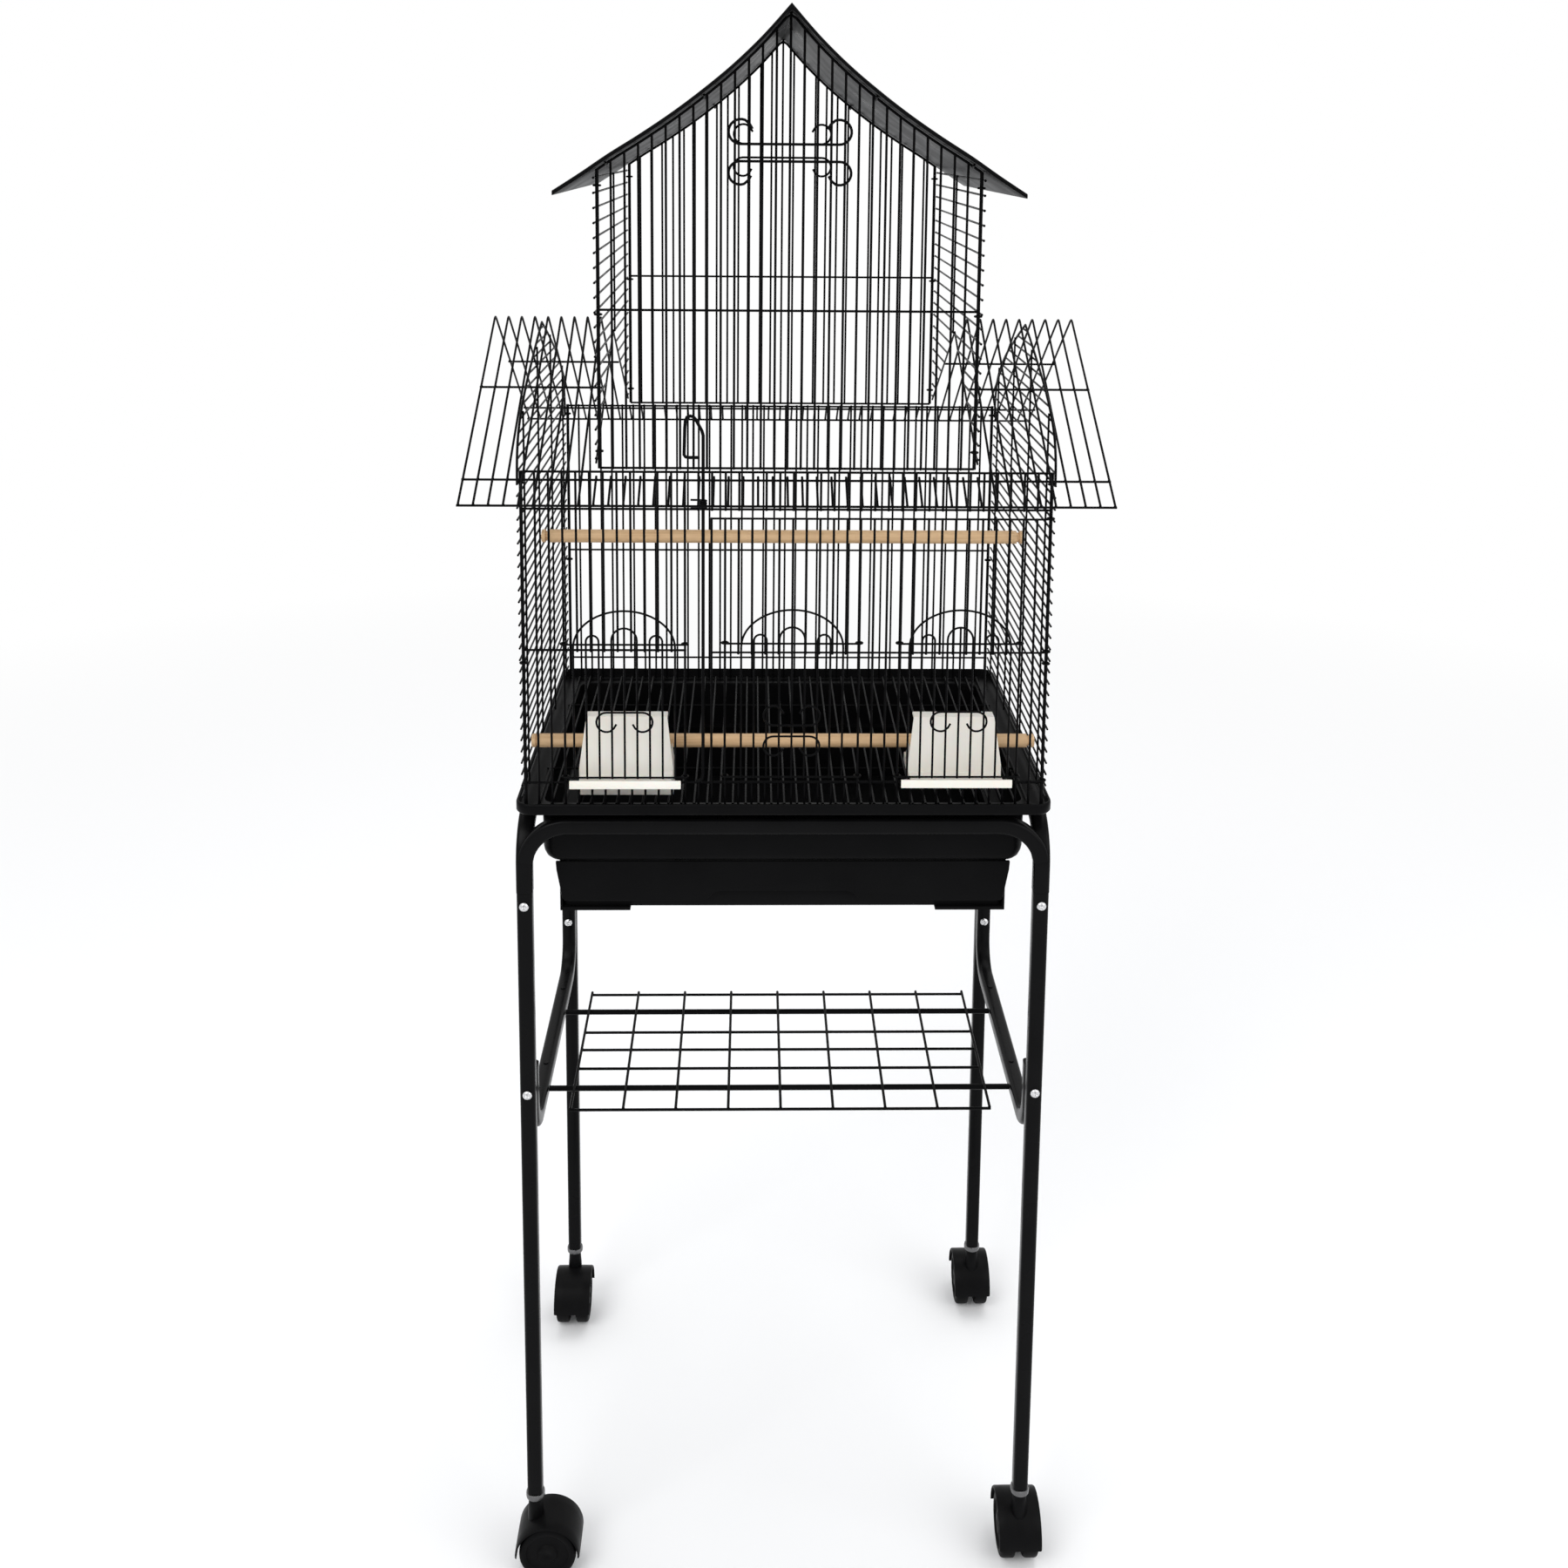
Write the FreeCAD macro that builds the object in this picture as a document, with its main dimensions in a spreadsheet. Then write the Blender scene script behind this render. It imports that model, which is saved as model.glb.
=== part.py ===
# Bird cage on a rolling stand. Millimetres; +Z up, +X to the right, the front faces -Y.
# Origin: on the floor, under the middle of the cage.
import FreeCAD
import Part
import Sketcher
import math
import os
import re

V = FreeCAD.Vector

# Every independent size, with its own name. Lengths in mm, angles in degrees.
SIZES = {
    # general fits
    "seat_gap": 0.3,
    "running_gap": 0.05,
    # stand
    "stand_half_width": 222.0,
    "stand_half_depth": 160.0,
    "leg_width": 14.0,
    "leg_corner": 3.0,
    "tube_wall": 1.2,
    "leg_bottom": 78.0,
    "leg_top": 660.0,
    "arch_top": 727.0,
    "arch_bend": 30.0,
    "upper_screw_height": 649.0,
    "lower_screw_height": 474.0,
    "screw_head_radius": 4.2,
    "screw_head_height": 2.4,
    "screw_shank_radius": 2.0,
    "stretcher_width": 14.0,
    "stretcher_top": 430.0,
    "stretcher_end": 490.0,
    "stretcher_bend": 32.0,
    # wire shelf
    "shelf_rod_radius": 2.5,
    "shelf_rod_height": 425.0,
    "shelf_front_rod": -81.5,
    "shelf_rear_rod": 47.5,
    "shelf_wire_radius": 1.3,
    "shelf_front": -116.5,
    "shelf_back": 77.5,
    "shelf_wire_count": 9,
    "shelf_wire_pitch": 47.7,
    # casters
    "wheel_radius": 26.0,
    "wheel_width": 14.0,
    "wheel_gap": 7.0,
    "axle_radius": 3.0,
    "caster_trail": 12.0,
    "hood_clear": 1.6,
    "hood_wall": 1.8,
    "hood_width": 39.0,
    "web_thickness": 5.0,
    "stem_radius": 4.0,
    "stem_top": 98.0,
    "socket_ring_radius": 8.5,
    "socket_ring_bottom": 72.0,
    "socket_plug_radius": 5.4,
    # base tub
    "rim_half_width": 228.0,
    "rim_half_depth": 174.0,
    "rim_corner": 14.0,
    "rim_top": 744.0,
    "rim_bottom": 734.0,
    "rim_wall": 2.5,
    "tub_half_width": 208.0,
    "tub_half_depth": 151.5,
    "tub_corner": 12.0,
    "tub_wall": 2.0,
    "tub_bottom": 682.0,
    "skirt_half_width": 194.0,
    "skirt_bottom": 634.0,
    "runner_half_gap": 133.0,
    # pull-out tray
    "tray_side_clear": 1.5,
    "tray_floor": 637.3,
    "tray_height": 36.0,
    "tray_wall": 2.0,
    "tray_front_half_width": 197.0,
    "tray_front_bottom": 645.0,
    "tray_grip_half_width": 67.0,
    "tray_grip_rise": 9.0,
    # floor grate
    "grate_half_width": 212.0,
    "grate_half_depth": 160.0,
    "grate_wire_radius": 1.0,
    "grate_wire_count": 39,
    "grate_wire_pitch": 11.0,
    # lower cage
    "cage_half_width": 219.0,
    "cage_half_depth": 165.0,
    "post_radius": 1.5,
    "wire_radius": 1.0,
    "fine_wire_radius": 0.9,
    "weld": 0.3,
    "wire_foot": 736.3,
    "bottom_wire": 759.5,
    "middle_wire": 876.0,
    "upper_wire": 997.0,
    "top_wire": 1029.3,
    "front_wire_count": 38,
    "front_wire_pitch": 11.2308,
    "side_offset": 2.8,
    "side_wire_start": 748.25,
    "side_wire_pitch": 10.0,
    "side_wire_count": 39,
    "side_upright_near": 45.0,
    "side_upright_far": 135.0,
    "gable_foot": 1021.0,
    "gable_top": 1133.0,
    # front door
    "door_plane": 170.5,
    "door_left": -62.0,
    "door_wire_count": 25,
    "door_wire_pitch": 11.2,
    "door_bottom": 762.5,
    "door_top": 990.5,
    "hinge_ring_radius": 3.4,
    "hinge_gap": 0.1,
    # sliding doors
    "slide_wire_count": 9,
    "slide_wire_pitch": 10.6,
    "slide_bottom": 765.5,
    "slide_guide_rise": 116.5,
    "slide_shoulder_rise": 114.0,
    "slide_arch_rise": 146.0,
    "ring_bore": 1.5,
    # latch rod
    "latch_x": -69.0,
    "latch_y": -169.3,
    "latch_rod_radius": 1.5,
    "latch_foot": 769.0,
    "latch_top": 1060.0,
    "latch_handle_width": 15.0,
    "latch_handle_drop": 18.3,
    # feeder cups
    "cup_half_width": 40.0,
    "cup_front": -157.0,
    "cup_back": -122.0,
    "cup_wall": 2.0,
    "cup_lip_half_width": 47.0,
    "hood_top": 812.0,
    # perches
    "perch_radius": 6.0,
    "upper_perch_y": -30.0,
    "upper_perch_z": 940.0,
    "lower_perch_y": -113.0,
    "lower_perch_z": 777.0,
    # wire roof of the lower cage
    "ridge": 1139.0,
    "roof_slope": 0.65,
    "roof_half_depth": 200.0,
    "wing_first": 168.0,
    "wing_pitch": 12.0,
    "wing_count": 9,
    "wing_inner_end": 158.1,
    "wing_outer_end": 265.5,
    "roof_wire_high": 80.0,
    "roof_wire_low": 174.5,
    "skirt_wire_count": 27,
    # upper house
    "house_half_width": 154.0,
    "house_foot": 1031.6,
    "house_middle_wire": 1162.0,
    "house_wire_count": 29,
    "house_wire_pitch": 11.0,
    "house_side_wire_count": 20,
    "house_side_wire_pitch": 12.0,
    "house_side_top": 1268.0,
    "house_side_apex": 1126.0,
    "house_side_foot": 1036.0,
    # plastic roof
    "hat_half_depth": 190.0,
    "hat_wall": 3.0,
}

DOC = FreeCAD.newDocument("BirdCageOnStand")
SHEET = DOC.addObject("Spreadsheet::Sheet", "Sizes")
for line, (word, amount) in enumerate(SIZES.items(), start=1):
    SHEET.set("A%d" % line, word)
    SHEET.set("B%d" % line, str(amount))
    SHEET.setAlias("B%d" % line, word)
DOC.recompute()
NODES = []


def size(word):
    """The value of one named size."""
    return float(SIZES[word])


def bound(text):
    """An expression in which every named size points at its cell of the sheet."""
    return re.sub(r"[a-z_]+", lambda m: "Sizes." + m.group(0) if m.group(0) in SIZES else m.group(0), str(text))


def new_body(name):
    body = DOC.addObject("PartDesign::Body", name)
    body.Label = name
    NODES.append(body)
    return body


def origin_of(body, role):
    return [item for item in body.Origin.OriginFeatures if item.Role == role][0]


def new_sketch(body, plane, across, up, along):
    """A sketch on a plane of the body's origin, shifted by bound offsets given along the object's own axes."""
    sketch = body.newObject("Sketcher::SketchObject", body.Label + "_sketch")
    sketch.AttachmentSupport = (origin_of(body, plane), [""])
    sketch.MapMode = "FlatFace"
    sign = "-1 * " if plane == "XZ_Plane" else ""
    sketch.setExpression("AttachmentOffset.Base.x", bound(across))
    sketch.setExpression("AttachmentOffset.Base.y", bound(up))
    sketch.setExpression("AttachmentOffset.Base.z", bound("%s(%s)" % (sign, along)))
    return sketch


def draw_circle(sketch, radius):
    at = sketch.addGeometry(Part.Circle(V(0, 0, 0), V(0, 0, 1), 1.0))
    sketch.addConstraint(Sketcher.Constraint("Coincident", at, 3, -1, 1))
    row = sketch.addConstraint(Sketcher.Constraint("Radius", at, 1.0))
    sketch.setExpression("Constraints[%d]" % row, bound(radius))


def draw_rectangle(sketch, wide, high):
    """A rectangle centred on the sketch, its width and height bound."""
    corners = [V(-1, -1, 0), V(1, -1, 0), V(1, 1, 0), V(-1, 1, 0)]
    first = sketch.GeometryCount
    for k in range(4):
        sketch.addGeometry(Part.LineSegment(corners[k], corners[(k + 1) % 4]))
    for k in range(4):
        sketch.addConstraint(Sketcher.Constraint("Coincident", first + k, 2, first + (k + 1) % 4, 1))
    for k, kind in enumerate(("Horizontal", "Vertical", "Horizontal", "Vertical")):
        sketch.addConstraint(Sketcher.Constraint(kind, first + k))
    sketch.addConstraint(Sketcher.Constraint("Symmetric", first, 1, first + 1, 2, -1, 1))
    row = sketch.addConstraint(Sketcher.Constraint("DistanceX", first, 1, first, 2, 2.0))
    sketch.setExpression("Constraints[%d]" % row, bound(wide))
    row = sketch.addConstraint(Sketcher.Constraint("DistanceY", first + 1, 1, first + 1, 2, 2.0))
    sketch.setExpression("Constraints[%d]" % row, bound(high))


def draw_loop(sketch, points):
    """A closed outline of straight sides through the points."""
    for k in range(len(points)):
        start = V(points[k][0], points[k][1], 0)
        end = V(points[(k + 1) % len(points)][0], points[(k + 1) % len(points)][1], 0)
        sketch.addGeometry(Part.LineSegment(start, end))


def draw_rounded(sketch, half_wide, half_high, radius):
    """A rectangle with round corners, centred on the sketch."""
    turns = [(1, 1, 0), (-1, 1, 90), (-1, -1, 180), (1, -1, 270)]
    ends = []
    for sx, sy, start in turns:
        centre = V(sx * (half_wide - radius), sy * (half_high - radius), 0)
        circle = Part.Circle(centre, V(0, 0, 1), radius)
        arc = Part.ArcOfCircle(circle, math.radians(start), math.radians(start + 90))
        sketch.addGeometry(arc)
        ends.append((arc.StartPoint, arc.EndPoint))
    for k in range(4):
        sketch.addGeometry(Part.LineSegment(ends[k][1], ends[(k + 1) % 4][0]))


def pad(body, sketch, length):
    feature = body.newObject("PartDesign::Pad", body.Label + "_pad")
    feature.Profile = sketch
    feature.SideType = "Symmetric"
    feature.setExpression("Length", bound(length))
    return feature


def pocket(body, sketch, length):
    feature = body.newObject("PartDesign::Pocket", body.Label + "_pocket")
    feature.Profile = sketch
    feature.SideType = "Symmetric"
    feature.setExpression("Length", bound(length))
    return feature


def revolve(body, points):
    """A solid turned about the body's own Z axis from points given as radius and height."""
    sketch = new_sketch(body, "XZ_Plane", "0", "0", "0")
    draw_loop(sketch, points)
    feature = body.newObject("PartDesign::Revolution", body.Label + "_turned")
    feature.Profile = sketch
    feature.ReferenceAxis = (sketch, ["V_Axis"])
    feature.Angle = 360.0
    return feature


def wire(body, axis, x, y, z, length, radius):
    """A straight round wire along one axis, centred on the bound point."""
    plane, across, up, along = {
        "X": ("YZ_Plane", y, z, x),
        "Y": ("XZ_Plane", x, z, y),
        "Z": ("XY_Plane", x, y, z),
    }[axis]
    sketch = new_sketch(body, plane, across, up, along)
    draw_circle(sketch, radius)
    return pad(body, sketch, length)


def row_of(body, feature, axis, pitch, count):
    """Copies of one feature at an even pitch along an axis."""
    DOC.recompute()
    pattern = body.newObject("PartDesign::LinearPattern", body.Label + "_row")
    pattern.Originals = [feature]
    pattern.Direction = (origin_of(body, axis + "_Axis"), [""])
    pattern.Mode = "Spacing"
    pattern.setExpression("Offset", bound(pitch))
    pattern.setExpression("Occurrences", bound(count))
    body.Tip = pattern
    return pattern


def block(body, x, y, z, wide, deep, high):
    """A plain block centred on the bound point."""
    sketch = new_sketch(body, "XY_Plane", x, y, z)
    draw_rectangle(sketch, wide, deep)
    return pad(body, sketch, high)


def band(points, width):
    """The closed outline of a strip of the given width along a path, mitred at the turns."""
    left = []
    right = []
    for k, point in enumerate(points):
        before = points[max(k - 1, 0)]
        after = points[min(k + 1, len(points) - 1)]
        sides = []
        for a, b in ((before, point), (point, after)):
            run = math.hypot(b[0] - a[0], b[1] - a[1])
            if run > 1e-9:
                sides.append(((a[1] - b[1]) / run, (b[0] - a[0]) / run))
        nx = sum(s[0] for s in sides) / len(sides)
        ny = sum(s[1] for s in sides) / len(sides)
        scale = width / 2.0 / (nx * nx + ny * ny)
        left.append((point[0] + nx * scale, point[1] + ny * scale))
        right.append((point[0] - nx * scale, point[1] - ny * scale))
    return left + right[::-1]


def bend(centre, radius, start, end, steps=8):
    """Points on an arc, angles in degrees."""
    turn = [math.radians(start + (end - start) * k / steps) for k in range(steps + 1)]
    return [(centre[0] + radius * math.cos(a), centre[1] + radius * math.sin(a)) for a in turn]


def strip(body, plane, points, width, along, thickness, cut=False):
    """A bent flat strip, or the same outline cut away."""
    sketch = new_sketch(body, plane, "0", "0", along)
    draw_loop(sketch, band(points, width))
    return (pocket if cut else pad)(body, sketch, thickness)


def cut_outline(body, plane, points, along, thickness):
    """Cuts away everything inside a closed outline."""
    sketch = new_sketch(body, plane, "0", "0", along)
    draw_loop(sketch, points)
    return pocket(body, sketch, thickness)


CORNERS = {
    "front_left": (-1, -1),
    "front_right": (1, -1),
    "rear_left": (-1, 1),
    "rear_right": (1, 1),
}
SIDES = {"left": -1, "right": 1}
ENDS = {"front": -1, "back": 1}


# ---------------------------------------------------------------- stand
def leg(name, sx, sy):
    """A square tube with its two screw holes."""
    body = new_body(name)
    x = "%d * stand_half_width" % sx
    y = "%d * stand_half_depth" % sy
    sketch = new_sketch(body, "XY_Plane", x, y, "(leg_top + leg_bottom) / 2")
    draw_rounded(sketch, size("leg_width") / 2, size("leg_width") / 2, size("leg_corner"))
    inner = size("leg_width") / 2 - size("tube_wall")
    draw_rounded(sketch, inner, inner, size("leg_corner") - size("tube_wall"))
    pad(body, sketch, "leg_top - leg_bottom")
    for height, face in (("upper_screw_height", sy), ("lower_screw_height", -1)):
        y_face = "%d * stand_half_depth + %d * leg_width / 2" % (sy, face)
        hole = new_sketch(body, "XZ_Plane", x, height, y_face)
        draw_circle(hole, "screw_shank_radius + seat_gap")
        pocket(body, hole, "leg_width / 2")


def side_frame(name, side):
    """The bent tube that joins a front leg to a rear leg under the rim."""
    body = new_body(name)
    half = size("leg_width") / 2
    radius = size("arch_bend") + half
    depth = size("stand_half_depth")
    level = size("arch_top") - half
    foot = size("leg_top") + size("seat_gap")
    inner = size("leg_width") - 2 * size("tube_wall")
    rear = bend((depth - radius, level - radius), radius, 0, 90)
    front = bend((radius - depth, level - radius), radius, 90, 180)
    along = "%d * stand_half_width" % side
    strip(body, "YZ_Plane", [(depth, foot)] + rear + front + [(-depth, foot)], 2 * half, along, "leg_width")
    bore = [(depth, foot - 1)] + rear + front + [(-depth, foot - 1)]
    strip(body, "YZ_Plane", bore, inner, along, "leg_width - 2 * tube_wall", cut=True)


def cross_arch(name, end):
    """The bent tube that runs across between the two side frames."""
    body = new_body(name)
    face = size("stand_half_width") - size("leg_width") / 2 - size("seat_gap")
    small = size("arch_bend")
    large = small + size("leg_width")
    wall = size("tube_wall")
    centre = (face - small, size("arch_top") - large)
    for inner, outer, limit, cut in ((small, large, small, False), (small + wall, large - wall, small + 1, True)):
        low = bend(centre, inner, math.degrees(math.acos(limit / inner)), 90)
        high = bend(centre, outer, 90, math.degrees(math.acos(limit / outer)))
        points = low + [(-x, z) for x, z in low[::-1] + high[::-1]] + high
        sketch = new_sketch(body, "XZ_Plane", "0", "0", "%d * stand_half_depth" % end)
        draw_loop(sketch, points)
        if cut:
            pocket(body, sketch, "leg_width - 2 * tube_wall")
        else:
            pad(body, sketch, "leg_width")


def stretcher(name, side):
    """The lower side tube; both ends turn up and are bolted between the legs."""
    body = new_body(name)
    half = size("stretcher_width") / 2
    radius = size("stretcher_bend")
    depth = size("stand_half_depth") - size("leg_width") / 2 - size("seat_gap") - half
    level = size("stretcher_top") - half
    along = "%d * stand_half_width" % side
    top = size("stretcher_end")
    rear = bend((depth - radius, level + radius), radius, 0, -90)
    front = bend((radius - depth, level + radius), radius, -90, -180)
    path = [(depth, top)] + rear + front + [(-depth, top)]
    strip(body, "YZ_Plane", path, 2 * half, along, "stretcher_width")
    bore = [(depth, top + 1)] + rear + front + [(-depth, top + 1)]
    strip(body, "YZ_Plane", bore, 2 * half - 2 * size("tube_wall"), along,
          "stretcher_width - 2 * tube_wall", cut=True)
    hole = new_sketch(body, "XZ_Plane", along, "lower_screw_height", "0")
    draw_circle(hole, "screw_shank_radius + seat_gap")
    pocket(body, hole, "2 * stand_half_depth")


def wire_shelf():
    """Two rods held between the stretchers with a thin grid welded on top."""
    body = new_body("wire_shelf")
    rod_z = "shelf_rod_height"
    grid_z = "shelf_rod_height + shelf_rod_radius + shelf_wire_radius - weld"
    under_z = grid_z + " - 2 * shelf_wire_radius + weld"
    rod_length = "2 * (stand_half_width - stretcher_width / 2 - seat_gap)"
    wire(body, "X", "0", "shelf_front_rod", rod_z, rod_length, "shelf_rod_radius")
    middle = "(shelf_front + shelf_back) / 2"
    first = wire(body, "Y", "-1 * shelf_wire_pitch * (shelf_wire_count - 1) / 2", middle, grid_z,
                 "shelf_back - shelf_front + 2 * shelf_wire_radius", "shelf_wire_radius")
    row_of(body, first, "X", "shelf_wire_pitch", "shelf_wire_count")
    wire(body, "X", "0", "shelf_rear_rod", rod_z, rod_length, "shelf_rod_radius")
    for y in ("shelf_front", "-52.5", "-21.5", "8.5", "shelf_back"):
        wire(body, "X", "0", y, under_z, "shelf_wire_pitch * (shelf_wire_count - 1) + 2 * shelf_wire_radius",
             "shelf_wire_radius")


def stand_screws():
    """Pan-head screws: two on each leg, the rear lower ones through the stretcher ends."""
    body = new_body("stand_screws")
    body.AllowCompound = True
    for name, (sx, sy) in CORNERS.items():
        x = "%d * stand_half_width" % sx
        for height, face in (("upper_screw_height", sy), ("lower_screw_height", -1)):
            skin = "%d * stand_half_depth + %d * (leg_width / 2" % (sy, face)
            if sy > 0 and face < 0:
                skin += " + seat_gap + stretcher_width"
            head = new_sketch(body, "XZ_Plane", x, height, skin + " + seat_gap + screw_head_height / 2)")
            draw_circle(head, "screw_head_radius")
            pad(body, head, "screw_head_height")
            shank = new_sketch(body, "XZ_Plane", x, height, skin + " + seat_gap - 2)")
            draw_circle(shank, "screw_shank_radius")
            pad(body, shank, "5")


# ---------------------------------------------------------------- casters
def caster_at(body, sx, sy, turn):
    """Puts a caster piece under its leg and turns it about the stem."""
    body.Placement = FreeCAD.Placement(
        V(sx * size("stand_half_width"), sy * size("stand_half_depth"), 0), FreeCAD.Rotation(V(0, 0, 1), turn))
    body.setExpression("Placement.Base.x", bound("%d * stand_half_width" % sx))
    body.setExpression("Placement.Base.y", bound("%d * stand_half_depth" % sy))


def caster_socket(name, sx, sy):
    """The plug in the foot of the leg, with the bright ring under it."""
    body = new_body(name)
    bore = size("stem_radius") + size("running_gap")
    ring_top = size("leg_bottom") - size("seat_gap")
    revolve(body, [
        (bore, size("socket_ring_bottom")), (size("socket_ring_radius"), size("socket_ring_bottom")),
        (size("socket_ring_radius"), ring_top), (size("socket_plug_radius"), ring_top),
        (size("socket_plug_radius"), size("stem_top") + 3), (bore, size("stem_top") + 3)])
    caster_at(body, sx, sy, 0)


def caster_yoke(name, sx, sy, turn):
    """Stem, hood over both wheels and the web that carries the axle."""
    body = new_body(name)
    trail = size("caster_trail")
    centre = (trail, size("wheel_radius"))
    inside = size("wheel_radius") + size("hood_clear")
    outside = inside + size("hood_wall")
    shell = bend(centre, outside, -2, 182, 28) + bend(centre, inside, 182, -2, 28)
    sketch = new_sketch(body, "XZ_Plane", "0", "0", "0")
    draw_loop(sketch, shell)
    pad(body, sketch, "hood_width")
    web = bend(centre, outside - 0.5, -2, 182, 24) + bend(centre, 8.0, 200, 340, 8)
    sketch = new_sketch(body, "XZ_Plane", "0", "0", "0")
    draw_loop(sketch, web)
    pad(body, sketch, "web_thickness")
    sketch = new_sketch(body, "XY_Plane", "0", "0", "(socket_ring_bottom - seat_gap + 48) / 2")
    draw_circle(sketch, "stem_radius + 3")
    pad(body, sketch, "socket_ring_bottom - seat_gap - 48")
    sketch = new_sketch(body, "XY_Plane", "0", "0", "(stem_top + 60) / 2")
    draw_circle(sketch, "stem_radius")
    pad(body, sketch, "stem_top - 60")
    for side in (-1, 1):
        room = new_sketch(body, "XZ_Plane", "caster_trail", "wheel_radius",
                          "%d * (web_thickness / 2 + hood_width / 4)" % side)
        draw_circle(room, "wheel_radius + hood_clear")
        pocket(body, room, "hood_width / 2")
    axle = new_sketch(body, "XZ_Plane", "caster_trail", "wheel_radius", "0")
    draw_circle(axle, "axle_radius + running_gap")
    pocket(body, axle, "hood_width")
    caster_at(body, sx, sy, turn)


def caster_wheels(name, sx, sy, turn):
    """Both wheels of one caster on their axle."""
    body = new_body(name)
    outer = size("wheel_radius")
    inner = size("wheel_gap") / 2
    outside = inner + size("wheel_width")
    axle = size("axle_radius")
    half = [
        (0, 0), (axle, 0), (axle, inner), (outer - 3, inner), (outer, inner + 3), (outer, outside - 4),
        (outer - 1.2, outside - 1.2), (outer - 4, outside), (outer - 6.5, outside), (outer - 8, outside - 2),
        (9, outside - 2), (7.5, outside), (0, outside)]
    points = half + [(r, -h) for r, h in half[:0:-1] if h > 0]
    sketch = new_sketch(body, "XY_Plane", "caster_trail", "0", "wheel_radius")
    draw_loop(sketch, points[1:] if points[0] == (0, 0) else points)
    feature = body.newObject("PartDesign::Revolution", body.Label + "_turned")
    feature.Profile = sketch
    feature.ReferenceAxis = (sketch, ["V_Axis"])
    feature.Angle = 360.0
    caster_at(body, sx, sy, turn)


# ---------------------------------------------------------------- base
def base_tub():
    """Rim gutter, walls, and the skirt with the runners that carry the tray."""
    body = new_body("base_tub")

    def ring(half_width, half_depth, corner, low, high, cut=False):
        sketch = new_sketch(body, "XY_Plane", "0", "0", "(%s + %s) / 2" % (low, high))
        draw_rounded(sketch, half_width, half_depth, corner)
        (pocket if cut else pad)(body, sketch, "%s - (%s)" % (high, low))

    rim_x, rim_y, rim_r = size("rim_half_width"), size("rim_half_depth"), size("rim_corner")
    lip = size("rim_wall")
    tub_x, tub_y, tub_r = size("tub_half_width"), size("tub_half_depth"), size("tub_corner")
    wall = size("tub_wall")
    ring(rim_x, rim_y, rim_r, "rim_bottom", "rim_top")
    ring(rim_x - lip, rim_y - lip, rim_r - lip, "(rim_bottom + tub_wall)", "(rim_top + 1)", cut=True)
    ring(tub_x, tub_y, tub_r, "(tub_bottom + 8)", "(rim_bottom + 1)")
    ring(tub_x - 4, tub_y - 2, tub_r, "(tub_bottom + 3)", "(tub_bottom + 9)")
    ring(tub_x - 9, tub_y - 4, tub_r, "tub_bottom", "(tub_bottom + 4)")
    ring(tub_x - wall, tub_y - wall, tub_r - wall, "(tub_bottom + 10)", "(rim_bottom + 5)", cut=True)
    ring(tub_x - 16, tub_y - 8, tub_r - wall, "(tub_bottom - 1)", "(tub_bottom + 11)", cut=True)
    for side in (-1, 1):
        block(body, "%d * (skirt_half_width - tub_wall / 2)" % side, "0", "(tub_bottom + 1 + skirt_bottom) / 2",
              "tub_wall", "2 * (tub_half_depth - 7)", "tub_bottom + 1 - skirt_bottom")
        block(body, "%d * (skirt_half_width + runner_half_gap) / 2" % side, "0", "skirt_bottom + 1.5",
              "skirt_half_width - runner_half_gap", "2 * (tub_half_depth - 7)", "3")
        for y in (-95, 95):
            block(body, "%d * (stand_half_width - 2)" % side, str(y),
                  "(arch_top + seat_gap + rim_bottom + 1) / 2", "8", "30", "rim_bottom + 1 - arch_top - seat_gap")
    block(body, "0", "tub_half_depth - 8", "(tub_bottom + 1 + skirt_bottom) / 2", "2 * skirt_half_width",
          "tub_wall", "tub_bottom + 1 - skirt_bottom")


def pull_out_tray():
    """Open box with a wider front that fills the slot under the tub."""
    body = new_body("pull_out_tray")
    half_x = "(skirt_half_width - tub_wall - tray_side_clear)"
    half_y = "(tub_half_depth - 11)"
    block(body, "0", "-2", "tray_floor + tray_height / 2", "2 * " + half_x, "2 * " + half_y, "tray_height")
    room = new_sketch(body, "XY_Plane", "0", "-2", "tray_floor + tray_wall + tray_height / 2")
    draw_rectangle(room, "2 * (%s - tray_wall)" % half_x, "2 * (%s - tray_wall)" % half_y)
    pocket(body, room, "tray_height")
    top = size("tub_bottom") - 0.6
    low = size("tray_front_bottom")
    wide = size("tray_front_half_width")
    grip = size("tray_grip_half_width")
    rise = size("tray_grip_rise")
    front = new_sketch(body, "XZ_Plane", "0", "0", "-1 * (tub_half_depth - 7 + 3)")
    draw_loop(front, [(-wide, top), (6 - wide, low), (-grip, low), (6 - grip, low + rise), (grip - 6, low + rise),
                      (grip, low), (wide - 6, low), (wide, top)])
    pad(body, front, "3")
    block(body, "0", "-1 * (tub_half_depth - 7 + 0.5)", "tray_floor + tray_height - 8", "2 * (%s - 30)" % half_x,
          "6.5", "10")


def floor_grate():
    """Wire floor laid over the tub."""
    body = new_body("floor_grate")
    low = "rim_bottom + tub_wall + seat_gap + grate_wire_radius"
    high = low + " + 2 * grate_wire_radius - weld"
    wire(body, "X", "0", "-1 * grate_half_depth + 1.2", low, "2 * grate_half_width", "grate_wire_radius")
    first = wire(body, "Y", "-1 * grate_wire_pitch * (grate_wire_count - 1) / 2", "0", high,
                 "2 * grate_half_depth", "grate_wire_radius")
    row_of(body, first, "X", "grate_wire_pitch", "grate_wire_count")
    for y in ("-80", "0", "80", "grate_half_depth - 1.2"):
        wire(body, "X", "0", y, low, "2 * grate_half_width", "grate_wire_radius")


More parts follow.
